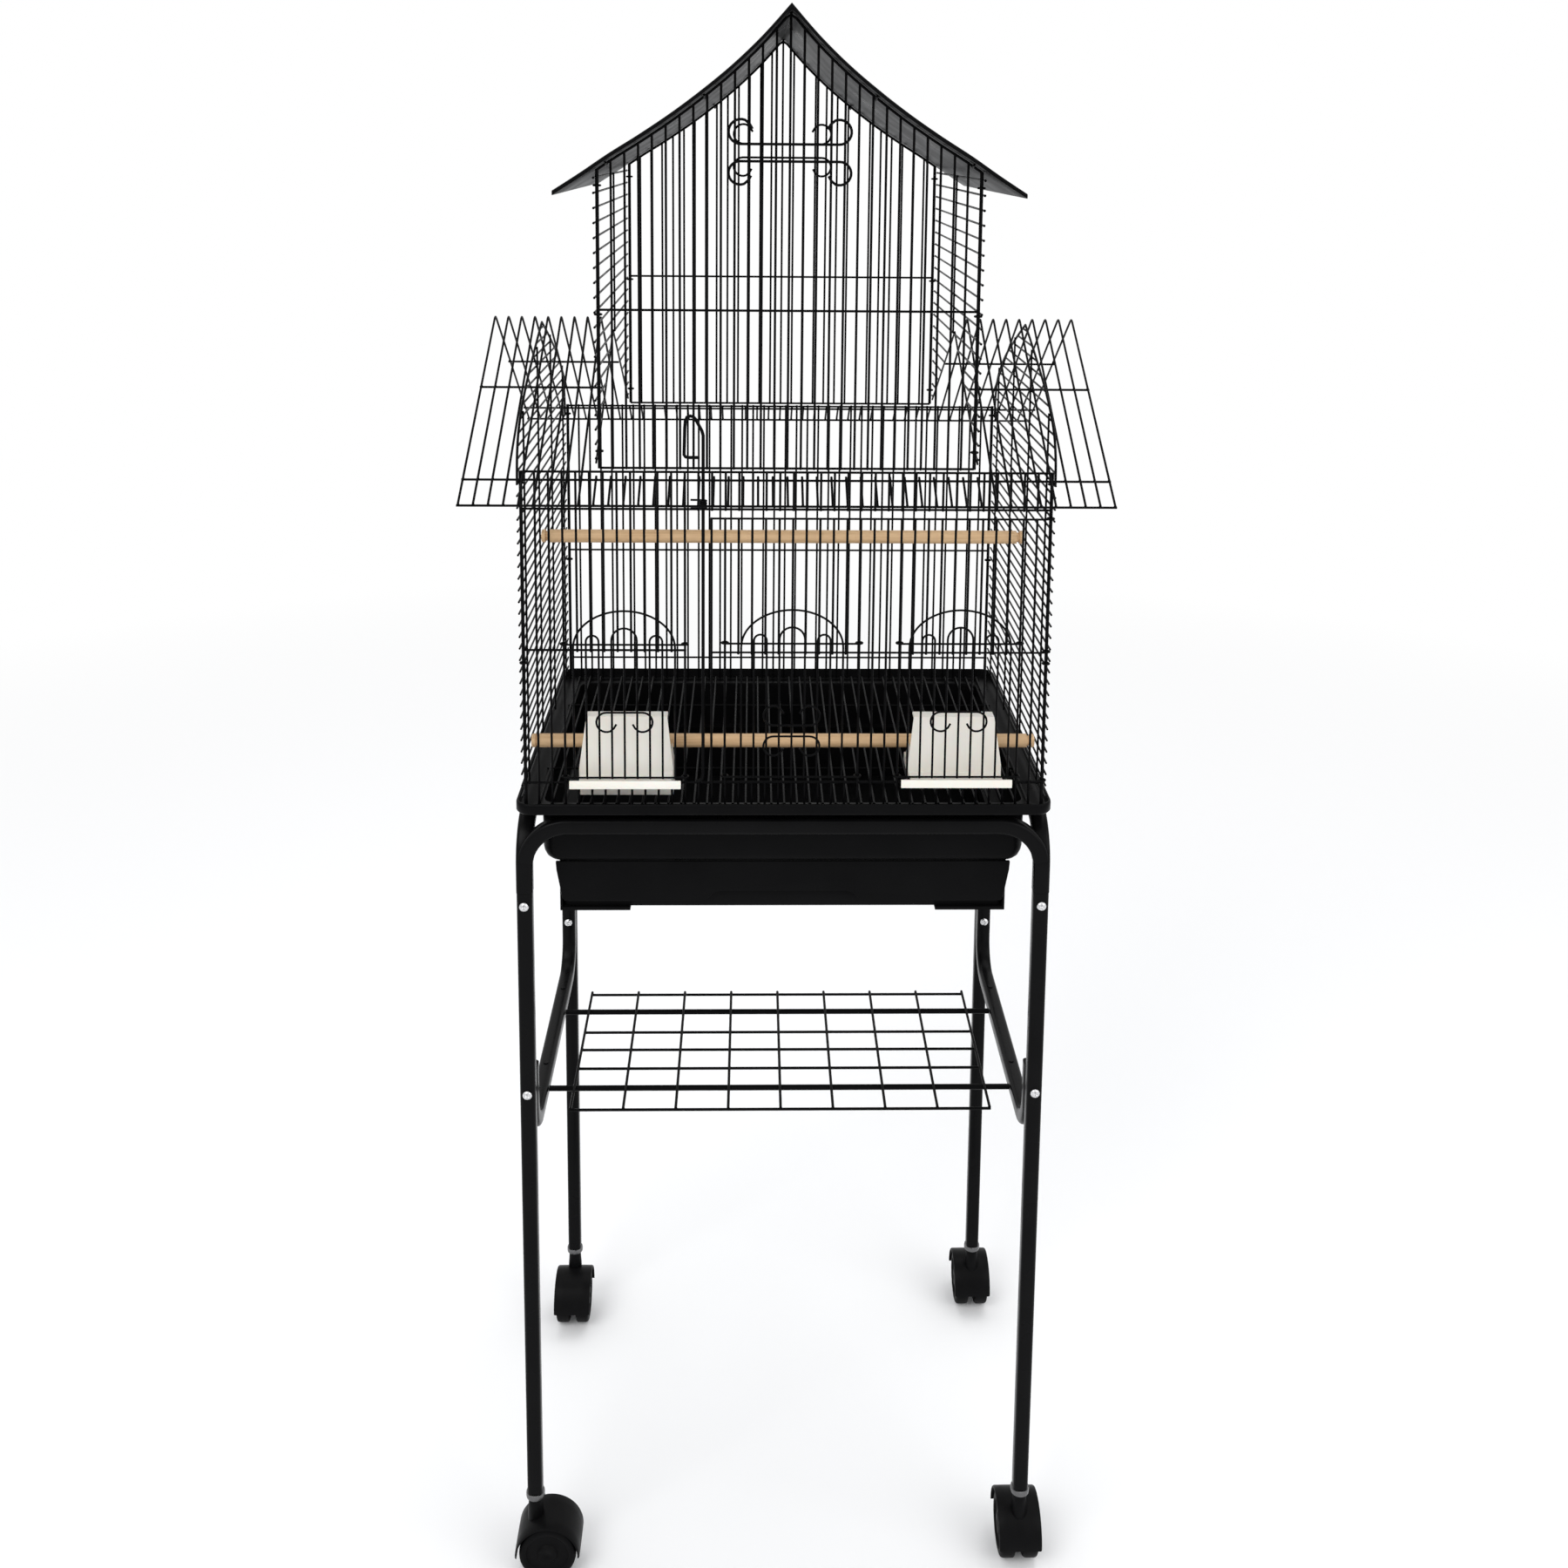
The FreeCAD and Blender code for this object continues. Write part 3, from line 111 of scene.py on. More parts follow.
# ------------------------------------------------------------------ paths
def smooth_path(points, steps=6):
    """Points of a soft curve through the given points."""
    pts = [Vector(p) for p in points]
    out = []
    for k in range(len(pts) - 1):
        a = pts[max(k - 1, 0)]
        b, c = pts[k], pts[k + 1]
        d = pts[min(k + 2, len(pts) - 1)]
        for s in range(steps):
            t = s / steps
            out.append(0.5 * ((2 * b) + (c - a) * t + (2 * a - 5 * b + 4 * c - d) * t * t
                              + (3 * b - a - 3 * c + d) * t ** 3))
    return out + [pts[-1]]


def arc(centre, radius, start, end, steps, to_point):
    """Points on an arc; to_point turns plane coordinates into a place."""
    angles = [math.radians(start + (end - start) * k / steps) for k in range(steps + 1)]
    return [to_point(centre[0] + radius * math.cos(a), centre[1] + radius * math.sin(a)) for a in angles]


def ring_path(x, y, z, radius, steps=14):
    """A level closed ring round an upright."""
    return arc((x, y), radius, 0, 360, steps, lambda a, b: Vector((a, b, z)))


# ------------------------------------------------------------------ node trees
def link_object(name, data):
    """A new object in the scene's own collection."""
    made = bpy.data.objects.new(name, data)
    bpy.context.scene.collection.objects.link(made)
    return made


def point_mesh(name, points, edges=(), faces=()):
    """A mesh from plain points, edges and faces."""
    mesh = bpy.data.meshes.new(name)
    mesh.from_pydata([tuple(p) for p in points], edges, faces)
    return mesh


def add_node(tree, kind, inputs=None, **settings):
    """A node of the kind, with its settings and its plain input values."""
    made = tree.nodes.new(kind)
    for word, value in settings.items():
        setattr(made, word, value)
    for word, value in (inputs or {}).items():
        made.inputs[word].default_value = value
    return made


def join(tree, *rows):
    """Links each (node, output, node, input)."""
    for source, out, target, into in rows:
        tree.links.new(source.outputs[out], target.inputs[into])


def new_group(kind, name, inputs, outputs):
    """A node group with the named sockets, and its two end nodes."""
    group = bpy.data.node_groups.new(name, kind)
    for way, rows in (("INPUT", inputs), ("OUTPUT", outputs)):
        for title, socket, *value in rows:
            item = group.interface.new_socket(title, in_out=way, socket_type="NodeSocket" + socket)
            if value:
                item.default_value = value[0]
    return group, group.nodes.new("NodeGroupInput"), group.nodes.new("NodeGroupOutput")


def new_tree(name, sockets):
    """A geometry node tree with the named inputs, and its two end nodes."""
    return new_group("GeometryNodeTree", name, [("Geometry", "Geometry"), *sockets, ("Material", "Material")],
                     [("Geometry", "Geometry")])


def finish_tree(tree, source, start, end):
    """Realize Instances, smooth shading and the material, then the output."""
    real = add_node(tree, "GeometryNodeRealizeInstances")
    shade = add_node(tree, "GeometryNodeSetShadeSmooth")
    paint = add_node(tree, "GeometryNodeSetMaterial")
    tree.links.new(source, real.inputs["Geometry"])
    join(tree, (real, "Geometry", shade, "Geometry"), (shade, "Geometry", paint, "Geometry"),
         (start, "Material", paint, "Material"), (paint, "Geometry", end, "Geometry"))
    return tree


def sweep(tree, start, profile):
    """Mesh edges swept with a profile that is scaled by each point's own wire_radius."""
    curve = add_node(tree, "GeometryNodeMeshToCurve")
    gauge = add_node(tree, "GeometryNodeInputNamedAttribute", {"Name": "wire_radius"}, data_type="FLOAT")
    radius = add_node(tree, "GeometryNodeSetCurveRadius")
    body = add_node(tree, "GeometryNodeCurveToMesh", {"Fill Caps": True})
    join(tree, (start, "Geometry", curve, "Mesh"), (curve, "Curve", radius, "Curve"),
         (gauge, "Attribute", radius, "Radius"), (radius, "Curve", body, "Curve"),
         (profile, "Curve", body, "Profile Curve"), (gauge, "Attribute", body, "Scale"))
    return body


def placed(tree, start, end, points, parts, out):
    """A copy of the parts at each of the points, realized and painted."""
    place = add_node(tree, "GeometryNodeInstanceOnPoints")
    join(tree, (points[0], points[1], place, "Points"), (parts, out, place, "Instance"))
    finish_tree(tree, place.outputs["Instances"], start, end)
    return place


def wire_row_tree():
    """Round wires along the given edges, repeated at an even spacing."""
    tree, start, end = new_tree("Wire Row", [("Count", "Int", 1), ("Spacing", "Vector"), ("Sides", "Int", 8)])
    circle = add_node(tree, "GeometryNodeCurvePrimitiveCircle", {"Radius": 1.0})
    line = add_node(tree, "GeometryNodeMeshLine", mode="OFFSET")
    join(tree, (start, "Sides", circle, "Resolution"), (start, "Count", line, "Count"),
         (start, "Spacing", line, "Offset"))
    placed(tree, start, end, (line, "Mesh"), sweep(tree, start, circle), "Mesh")
    return tree


def tube_tree():
    """Square tube with rounded edges, bent along the given edges."""
    tree, start, end = new_tree("Bent Square Tube", [("Width", "Float", 0.014), ("Corner", "Float", 0.003)])
    square = add_node(tree, "GeometryNodeCurvePrimitiveQuadrilateral")
    fillet = add_node(tree, "GeometryNodeFilletCurve", mode="POLY")
    fillet.inputs["Count"].default_value = 4
    join(tree, (start, "Width", square, "Width"), (start, "Width", square, "Height"),
         (square, "Curve", fillet, "Curve"), (start, "Corner", fillet, "Radius"))
    return finish_tree(tree, sweep(tree, start, fillet).outputs["Mesh"], start, end)


def scatter_tree():
    """The same small shape at every vertex, turned by the vertex's own face_turn."""
    tree, start, end = new_tree("Placed Parts", [("Part", "Object")])
    part = add_node(tree, "GeometryNodeObjectInfo")
    turn = add_node(tree, "GeometryNodeInputNamedAttribute", {"Name": "face_turn"}, data_type="FLOAT_VECTOR")
    place = placed(tree, start, end, (start, "Geometry"), part, "Geometry")
    join(tree, (start, "Part", part, "Object"), (turn, "Attribute", place, "Rotation"))
    return tree


def bead_tree():
    """A small faceted bead at every vertex, where two wires are welded."""
    tree, start, end = new_tree("Weld Beads", [("Size", "Float", 0.0013)])
    ball = add_node(tree, "GeometryNodeMeshIcoSphere", {"Subdivisions": 1})
    join(tree, (start, "Size", ball, "Radius"))
    placed(tree, start, end, (start, "Geometry"), ball, "Mesh")
    return tree


GROUPS = {}


def group_of(make):
    """The node group that make builds, built once and shared."""
    if make not in GROUPS:
        GROUPS[make] = make()
    return GROUPS[make]


def run_tree(source, tree, values, name):
    """Runs a tree on an object and keeps the result as a plain mesh."""
    modifier = source.modifiers.new("shape", "NODES")
    modifier.node_group = tree
    for item in tree.interface.items_tree:
        if item.item_type == "SOCKET" and item.in_out == "INPUT" and item.name in values:
            modifier[item.identifier] = values[item.name]
    source.update_tag()
    bpy.context.view_layer.update()
    depsgraph = bpy.context.evaluated_depsgraph_get()
    result = bpy.data.meshes.new_from_object(source.evaluated_get(depsgraph), depsgraph=depsgraph)
    source.modifiers.remove(modifier)
    bpy.data.objects.remove(source)
    for attribute in [a.name for a in result.attributes if a.name in ("wire_radius", "face_turn")]:
        result.attributes.remove(result.attributes[attribute])
    result.name = name
    return link_object(name, result)


# ------------------------------------------------------------------ pieces
def settle(piece, body, nodes=()):
    """Puts a finished piece on its CAD body and hides the CAD nodes it stands for."""
    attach(piece, body)
    if nodes:
        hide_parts(*nodes)
    return piece


def edge_object(lines, name):
    """A mesh of bare edges; each line is (points, radius)."""
    verts, edges, radii = [], [], []
    for points, radius in lines:
        pts = [Vector(p) for p in points]
        closed = len(pts) > 3 and (pts[0] - pts[-1]).length < 1e-7
        if closed:
            pts = pts[:-1]
        first = len(verts)
        verts += [tuple(p) for p in pts]
        radii += [radius] * len(pts)
        edges += [(first + k, first + k + 1) for k in range(len(pts) - 1)]
        if closed:
            edges.append((first + len(pts) - 1, first))
    mesh = point_mesh(name, verts, edges)
    mesh.attributes.new("wire_radius", "FLOAT", "POINT").data.foreach_set("value", radii)
    return link_object(name, mesh)


def wires(name, lines, body, nodes=(), count=1, spacing=(0, 0, 0), paint="black_wire",
          sides=None):
    """Round wires along the lines, repeated count times, as one piece."""
    values = {"Count": count, "Spacing": tuple(spacing),
              "Sides": sides or bpy.context.scene.cage_wires.sides, "Material": material(paint)}
    piece = run_tree(edge_object(lines, name), group_of(wire_row_tree), values, name)
    return settle(piece, body, nodes)


def beads(name, points, body, size=None):
    """Weld beads at the points."""
    source = link_object(name, point_mesh(name, points))
    values = {"Size": size or bpy.context.scene.cage_wires.bead, "Material": material("black_wire")}
    piece = run_tree(source, group_of(bead_tree), values, name)
    return settle(piece, body)


def tubes(name, lines, body, nodes, width, corner):
    """Square tubes along the lines."""
    values = {"Width": width, "Corner": corner, "Material": material("black_tube")}
    source = edge_object([(points, 1.0) for points in lines], name)
    piece = run_tree(source, group_of(tube_tree), values, name)
    return settle(piece, body, nodes)


def mesh_piece(name, verts, faces, paint, body, slot, nodes=(), smooth=40.0, bevel=0.0, segments=2):
    """A piece from plain vertices and faces, with an optional rounded edge."""
    return shaped(point_mesh(name, verts, (), faces), name, paint, body, nodes, smooth, bevel, segments)


def shaped(mesh, name, paint, body, nodes=(), smooth=40.0, bevel=0.0, segments=2):
    """Cleans a mesh, points its faces outwards, rounds its edges and settles it."""
    bm = bmesh.new()
    bm.from_mesh(mesh)
    bmesh.ops.remove_doubles(bm, verts=bm.verts, dist=1e-6)
    bmesh.ops.recalc_face_normals(bm, faces=bm.faces)
    if bevel:
        bmesh.ops.dissolve_limit(bm, angle_limit=math.radians(1.0), verts=bm.verts, edges=bm.edges)
        sharp = [e for e in bm.edges if len(e.link_faces) == 2 and e.calc_face_angle(0.0) > math.radians(28)]
        bmesh.ops.bevel(bm, geom=sharp, offset=bevel, segments=segments, profile=0.5, affect="EDGES",
                        clamp_overlap=True)
    bm.to_mesh(mesh)
    bm.free()
    mesh.materials.clear()
    mesh.materials.append(material(paint))
    mesh.shade_smooth()
    mesh.set_sharp_from_angle(angle=math.radians(smooth))
    return settle(link_object(name, mesh), body, nodes)


def mm_pairs(points):
    """Millimetre pairs in metres."""
    return [(a * MM, b * MM) for a, b in points]


def upright(a, b, c):
    """Place for an outline drawn in X and Z and pushed along Y."""
    return Vector((a, c, b))


def slab(outline, low, high):
    """A prism from an outline in X and Z, pushed along Y, all in millimetres."""
    return prism(mm_pairs(outline), low * MM, high * MM, upright)


def corner_posts(posts, hooks, half, y, low, high, heights):
    """Two corner posts, and the small rings that tie the walls to them."""
    lines = [([(s * half, y, low), (s * half, y, high)], bpy.context.scene.cage_wires.post) for s in (-1, 1)]
    wires(posts, lines, "stand", sides=12)
    rings = [(ring_path(s * half, y, z, TIE_RING), TIE_WIRE) for s in (-1, 1) for z in heights]
    wires(hooks, rings, "stand")


def middle_of(node):
    """Middle of a CAD node's box, seen from above."""
    low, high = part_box(node)
    return (low.x + high.x) / 2, (low.y + high.y) / 2


def prism(outline, low, high, place):
    """Vertices and faces of an outline pushed from low to high; place turns (a, b, c) into a point."""
    n = len(outline)
    verts = [place(a, b, low) for a, b in outline] + [place(a, b, high) for a, b in outline]
    faces = [list(range(n))[::-1], list(range(n, 2 * n))]
    faces += [[k, (k + 1) % n, n + (k + 1) % n, n + k] for k in range(n)]
    return verts, faces


def lathe(profile, steps, place):
    """A closed shape turned from (radius, height) pairs that start and end on the axis."""
    verts, faces = [], []
    for r, h in profile:
        if r < 1e-9:
            verts.append(place(0.0, 0.0, h))
        else:
            verts += [place(r * math.cos(2 * math.pi * k / steps), r * math.sin(2 * math.pi * k / steps), h)
                      for k in range(steps)]
    starts, at = [], 0
    for r, h in profile:
        starts.append(at)
        at += 1 if r < 1e-9 else steps
    for j in range(len(profile) - 1):
        a, b = starts[j], starts[j + 1]
        one = profile[j][0] < 1e-9
        two = profile[j + 1][0] < 1e-9
        for k in range(steps):
            m = (k + 1) % steps
            if one and not two:
                faces.append([a, b + k, b + m])
            elif two and not one:
                faces.append([a + k, b, a + m])
            elif not one and not two:
                faces.append([a + k, b + k, b + m, a + m])
    return verts, faces


def merge(parts):
    """Several (vertices, faces) pairs as one."""
    verts, faces = [], []
    for v, f in parts:
        first = len(verts)
        verts += v
        faces += [[first + i for i in face] for face in f]
    return verts, faces


def rounded_rectangle(half_x, half_y, radius, steps=6):
    """Points round a rectangle with round corners, anticlockwise."""
    out = []
    for sx, sy, start in ((1, 1, 0), (-1, 1, 90), (-1, -1, 180), (1, -1, 270)):
        centre = (sx * (half_x - radius), sy * (half_y - radius))
        out += arc(centre, radius, start, start + 90, steps, lambda a, b: (a, b))
    return out


def loft(sections):
    """A closed ring skinned through rounded rectangles given as (half_x, half_y, radius, z)."""
    rows = [[(x, y, z) for x, y in rounded_rectangle(hx, hy, r)] for hx, hy, r, z in sections]
    n = len(rows[0])
    verts = [p for row in rows for p in row]
    faces = []
    m = len(rows)
    for j in range(m):
        a, b = j * n, ((j + 1) % m) * n
        faces += [[a + k, a + (k + 1) % n, b + (k + 1) % n, b + k] for k in range(n)]
    return verts, faces


# ------------------------------------------------------------------ finishes
def shader_group(name, inputs, outputs):
    """A shader group whose outputs are all plain values."""
    return new_group("ShaderNodeTree", name, inputs, [(title, "Float") for title in outputs])


def moulded_grain():
    """Fine grain with a slow unevenness: a height, a mask and a roughness."""
    group, start, end = shader_group("Surface Grain", [
        ("Vector", "Vector"), ("Grain Scale", "Float", 900.0), ("Patch Scale", "Float", 22.0),
        ("Roughness Low", "Float", 0.35), ("Roughness High", "Float", 0.5)], ["Height", "Mask", "Roughness"])
    fine = add_node(group, "ShaderNodeTexNoise", {"Detail": 2.0})
    patch = add_node(group, "ShaderNodeTexNoise", {"Detail": 4.0})
    spread = add_node(group, "ShaderNodeMapRange", {"From Min": 0.3, "From Max": 0.7})
    join(group, (start, "Vector", fine, "Vector"), (start, "Grain Scale", fine, "Scale"),
         (start, "Vector", patch, "Vector"), (start, "Patch Scale", patch, "Scale"),
         (patch, "Fac", spread, "Value"), (start, "Roughness Low", spread, "To Min"),
         (start, "Roughness High", spread, "To Max"), (fine, "Fac", end, "Height"),
         (patch, "Fac", end, "Mask"), (spread, "Result", end, "Roughness"))
    return group


def settled_dust():
    """Thin dust on faces that look up, broken up by noise."""
    group, start, end = shader_group("Settled Dust", [
        ("Vector", "Vector"), ("Amount", "Float", 0.1), ("Patch Scale", "Float", 60.0)], ["Mask"])
    geometry = add_node(group, "ShaderNodeNewGeometry")
    split = add_node(group, "ShaderNodeSeparateXYZ")
    upward = add_node(group, "ShaderNodeMapRange", {"From Min": 0.35})
    noise = add_node(group, "ShaderNodeTexNoise", {"Detail": 5.0})
    both = add_node(group, "ShaderNodeMath", operation="MULTIPLY")
    amount = add_node(group, "ShaderNodeMath", operation="MULTIPLY")
    join(group, (geometry, "Normal", split, "Vector"), (split, "Z", upward, "Value"),
         (start, "Vector", noise, "Vector"), (start, "Patch Scale", noise, "Scale"),
         (upward, "Result", both, 0), (noise, "Fac", both, 1), (both, "Value", amount, 0),
         (start, "Amount", amount, 1), (amount, "Value", end, "Mask"))
    return group


def base_material(name):
    """A new material: its tree, its shader and the Object coordinates."""
    mat = bpy.data.materials.new(name)
    mat.use_nodes = True
    tree = mat.node_tree
    return mat, tree, tree.nodes["Principled BSDF"], add_node(tree, "ShaderNodeTexCoord").outputs["Object"]


def grained(tree, here, shader, **values):
    """The shared grain on a material; it drives the shader's roughness."""
    inputs = {word.replace("_", " ").title(): value for word, value in values.items()}
    grain = add_node(tree, "ShaderNodeGroup", inputs, node_tree=group_of(moulded_grain))
    tree.links.new(here, grain.inputs["Vector"])
    join(tree, (grain, "Roughness", shader, "Roughness"))
    return grain


def bumped(tree, height, shader, strength, distance=0.0003):
    """Turns a height into a bump on the shader's normal."""
    bump = add_node(tree, "ShaderNodeBump", {"Strength": strength, "Distance": distance})
    tree.links.new(height, bump.inputs["Height"])
    join(tree, (bump, "Normal", shader, "Normal"))


def mixed(tree, mask, first, second, target=None):
    """Two colours, values or sockets, mixed by a mask and sent on to a target socket if one is given."""
    mix = add_node(tree, "ShaderNodeMix", data_type="RGBA")
    tree.links.new(mask, mix.inputs["Factor"])
    for socket, value in ((mix.inputs[6], first), (mix.inputs[7], second)):
        if hasattr(value, "is_linked"):
            tree.links.new(value, socket)
        else:
            socket.default_value = (*value, 1.0)
    if target:
        tree.links.new(mix.outputs[2], target)
    return mix.outputs[2]


def dark_finish(name, tone, low, high, grain, height, dust, patch, gloss):
    """Black coating or plastic: grain, uneven sheen and a trace of dust."""
    mat, tree, shader, here = base_material(name)
    fine = grained(tree, here, shader, grain_scale=grain, patch_scale=patch, roughness_low=low,
                   roughness_high=high)
    dusty = add_node(tree, "ShaderNodeGroup", {"Amount": dust}, node_tree=group_of(settled_dust))
    tree.links.new(here, dusty.inputs["Vector"])
    lighter = tuple(min(1.0, c * 1.6 + 0.001) for c in tone)
    toned = mixed(tree, fine.outputs["Mask"], tone, lighter)
    mixed(tree, dusty.outputs["Mask"], toned, DUST, shader.inputs["Base Color"])
    bumped(tree, fine.outputs["Height"], shader, height)
    shader.inputs["Specular IOR Level"].default_value = gloss
    return mat


def cup_finish(name, tone):
    """Off-white moulded plastic with soft see-through edges."""
    mat, tree, shader, here = base_material(name)
    fine = grained(tree, here, shader, grain_scale=500.0, roughness_low=0.28, roughness_high=0.42)
    deeper = tuple(c * k for c, k in zip(tone, (0.93, 0.90, 0.84)))
    mixed(tree, fine.outputs["Mask"], tone, deeper, shader.inputs["Base Color"])
    shader.inputs["Subsurface Weight"].default_value = 0.15
    shader.inputs["Subsurface Scale"].default_value = 0.004
    bumped(tree, fine.outputs["Height"], shader, 0.08)
    return mat


def wood_finish(name, light, dark):
    """Bare sanded dowel with grain along its length."""
    mat, tree, shader, here = base_material(name)
    stretch = add_node(tree, "ShaderNodeVectorMath", {1: (9.0, 240.0, 240.0)}, operation="MULTIPLY")
    grain = add_node(tree, "ShaderNodeTexNoise", {"Scale": 1.0, "Detail": 6.0, "Roughness": 0.6})
    pores = add_node(tree, "ShaderNodeTexNoise", {"Scale": 3.2, "Detail": 3.0})
    ramp = add_node(tree, "ShaderNodeValToRGB")
    for stop, place, shade in zip(ramp.color_ramp.elements, (0.34, 0.62), (dark, light)):
        stop.position = place
        stop.color = (*shade, 1.0)
    tree.links.new(here, stretch.inputs[0])
    join(tree, (stretch, "Vector", grain, "Vector"), (stretch, "Vector", pores, "Vector"),
         (grain, "Fac", ramp, "Fac"))
    mixed(tree, pores.outputs["Fac"], ramp.outputs["Color"], light, shader.inputs["Base Color"])
    shader.inputs["Roughness"].default_value = 0.62
    bumped(tree, grain.outputs["Fac"], shader, 0.25, 0.0004)
    return mat


def metal_finish(name, tone):
    """Bright zinc with faint turning marks."""
    mat, tree, shader, here = base_material(name)
    fine = grained(tree, here, shader, grain_scale=1400.0, patch_scale=240.0, roughness_low=0.18,
                   roughness_high=0.34)
    mixed(tree, fine.outputs["Mask"], tone, tuple(c * 0.82 for c in tone), shader.inputs["Base Color"])
    shader.inputs["Metallic"].default_value = 1.0
    return mat


DUST = (0.12, 0.115, 0.11)
# colour and how much of it, roughness low and high, grain scale, grain height, dust, patch scale, gloss
DARK = {
    "black_wire": ("coat", 1.0, 0.22, 0.36, 700.0, 0.10, 0.015, 40.0, 0.03),
    "black_tube": ("coat", 1.0, 0.20, 0.32, 520.0, 0.10, 0.015, 30.0, 0.06),
    "black_base": ("plastic", 1.0, 0.26, 0.40, 1100.0, 0.08, 0.015, 22.0, 0.03),
    "black_roof": ("plastic", 1.0, 0.26, 0.38, 1200.0, 0.08, 0.015, 22.0, 0.03),
    "black_hood": ("plastic", 1.0, 0.32, 0.46, 1300.0, 0.2, 0.02, 60.0, 0.05),
    "black_tread": ("plastic", 0.8, 0.4, 0.6, 900.0, 0.25, 0.03, 90.0, 0.05),
}


def material(name):
    """The named finish, made the first time it is asked for."""
    found = bpy.data.materials.get(name)
    if found:
        return found
    tones = bpy.context.scene.cage_colours
    if name in DARK:
        tint, share, *rest = DARK[name]
        return dark_finish(name, tuple(c * share for c in getattr(tones, tint)), *rest)
    makers = {
        "cream_plastic": lambda: cup_finish(name, tuple(tones.cup)),
        "bare_wood": lambda: wood_finish(name, tuple(tones.wood_light), tuple(tones.wood_dark)),
        "bright_zinc": lambda: metal_finish(name, tuple(tones.metal)),
        "dull_zinc": lambda: metal_finish(name, tuple(0.22 * c for c in tones.metal)),
    }
    return makers[name]()


# ------------------------------------------------------------------ operators
LEG_SHARE, ARCH_SHARE = 0.965, 0.985     # legs and arches are a little thinner than the side rails
STRETCHER_DROP, STRETCHER_BEND = 0.067, 0.032
TRAIL, AXLE = 12.0, 26.0                 # caster axle behind its stem, and its height, in millimetres


def at_mm(*values):
    """Millimetres in metres."""
    return tuple(v * MM for v in values)


def u_path(x, y0, y1, level, radius, tip, way, steps):
    """Middle line of a tube that is level between two bends; way is 1 for an arch and -1 for a cradle."""
    turn = level - way * radius
    rear = arc((y1 - radius, turn), radius, 0, way * 90, steps, lambda a, b: (x, a, b))
    front = arc((y0 + radius, turn), radius, way * 90, way * 180, steps, lambda a, b: (x, a, b))
    return [(x, y1, tip)] + rear + front + [(x, y0, tip)]


def solid_object(name, verts, faces):
    """A plain closed object with its faces pointing outwards."""
    mesh = point_mesh(name, verts, (), faces)
    bm = bmesh.new()
    bm.from_mesh(mesh)
    bmesh.ops.recalc_face_normals(bm, faces=bm.faces)
    bm.to_mesh(mesh)
    bm.free()
    return link_object(name, mesh)


class BIRDCAGE_OT_stand(bpy.types.Operator):
    """Legs, bent side frames, cross arches and lower stretchers of the stand"""
    bl_idname = "bird_cage.stand"
    bl_label = "Stand"

    def execute(self, context):
        sizes = context.scene.cage_stand
        half = sizes.tube / 2
        radius = sizes.bend + half
        for corner in CORNERS:
            low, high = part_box("leg_" + corner)
            x, y = middle_of("leg_" + corner)
            tubes("leg_tube_" + corner, [[(x, y, low.z), (x, y, high.z)]], "stand", ["leg_" + corner],
                  sizes.tube * LEG_SHARE, sizes.corner)
        for _, side in SIDES:
            low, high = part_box("side_frame_" + side)
            path = u_path(middle_of("side_frame_" + side)[0], low.y + half, high.y - half, high.z - half,
                          radius, low.z, 1, 14)
            tubes("side_rail_" + side, [path], "stand", ["side_frame_" + side], sizes.tube, sizes.corner)
            low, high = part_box("stretcher_" + side)
            path = u_path(middle_of("stretcher_" + side)[0], low.y + 0.007, high.y - 0.007,
                          high.z - STRETCHER_DROP, STRETCHER_BEND, high.z, -1, 12)
            tubes("stretcher_tube_" + side, [path], "stand", ["stretcher_" + side], sizes.stretcher,
                  sizes.corner)
        for _, end in ENDS:
            low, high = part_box("cross_arch_" + end)
            y = middle_of("cross_arch_" + end)[1]
            centre = (high.x - sizes.bend, high.z - half - radius)
            right = arc(centre, radius, 8, 90, 12, lambda a, b: (a, y, b))
            path = right + [(-a, b, c) for a, b, c in right[::-1]]
            tubes("arch_tube_" + end, [path], "stand", ["cross_arch_" + end], sizes.tube * ARCH_SHARE,
                  sizes.corner)
        rivets = [([(side * 0.222, y, 0.4298), (side * 0.222, y, 0.4307)], 0.0024)
                  for side in (-1, 1) for y in (-0.048, 0.085)]
        wires("stretcher_rivets", rivets, "stand", paint="black_tube", sides=16)
        return {"FINISHED"}


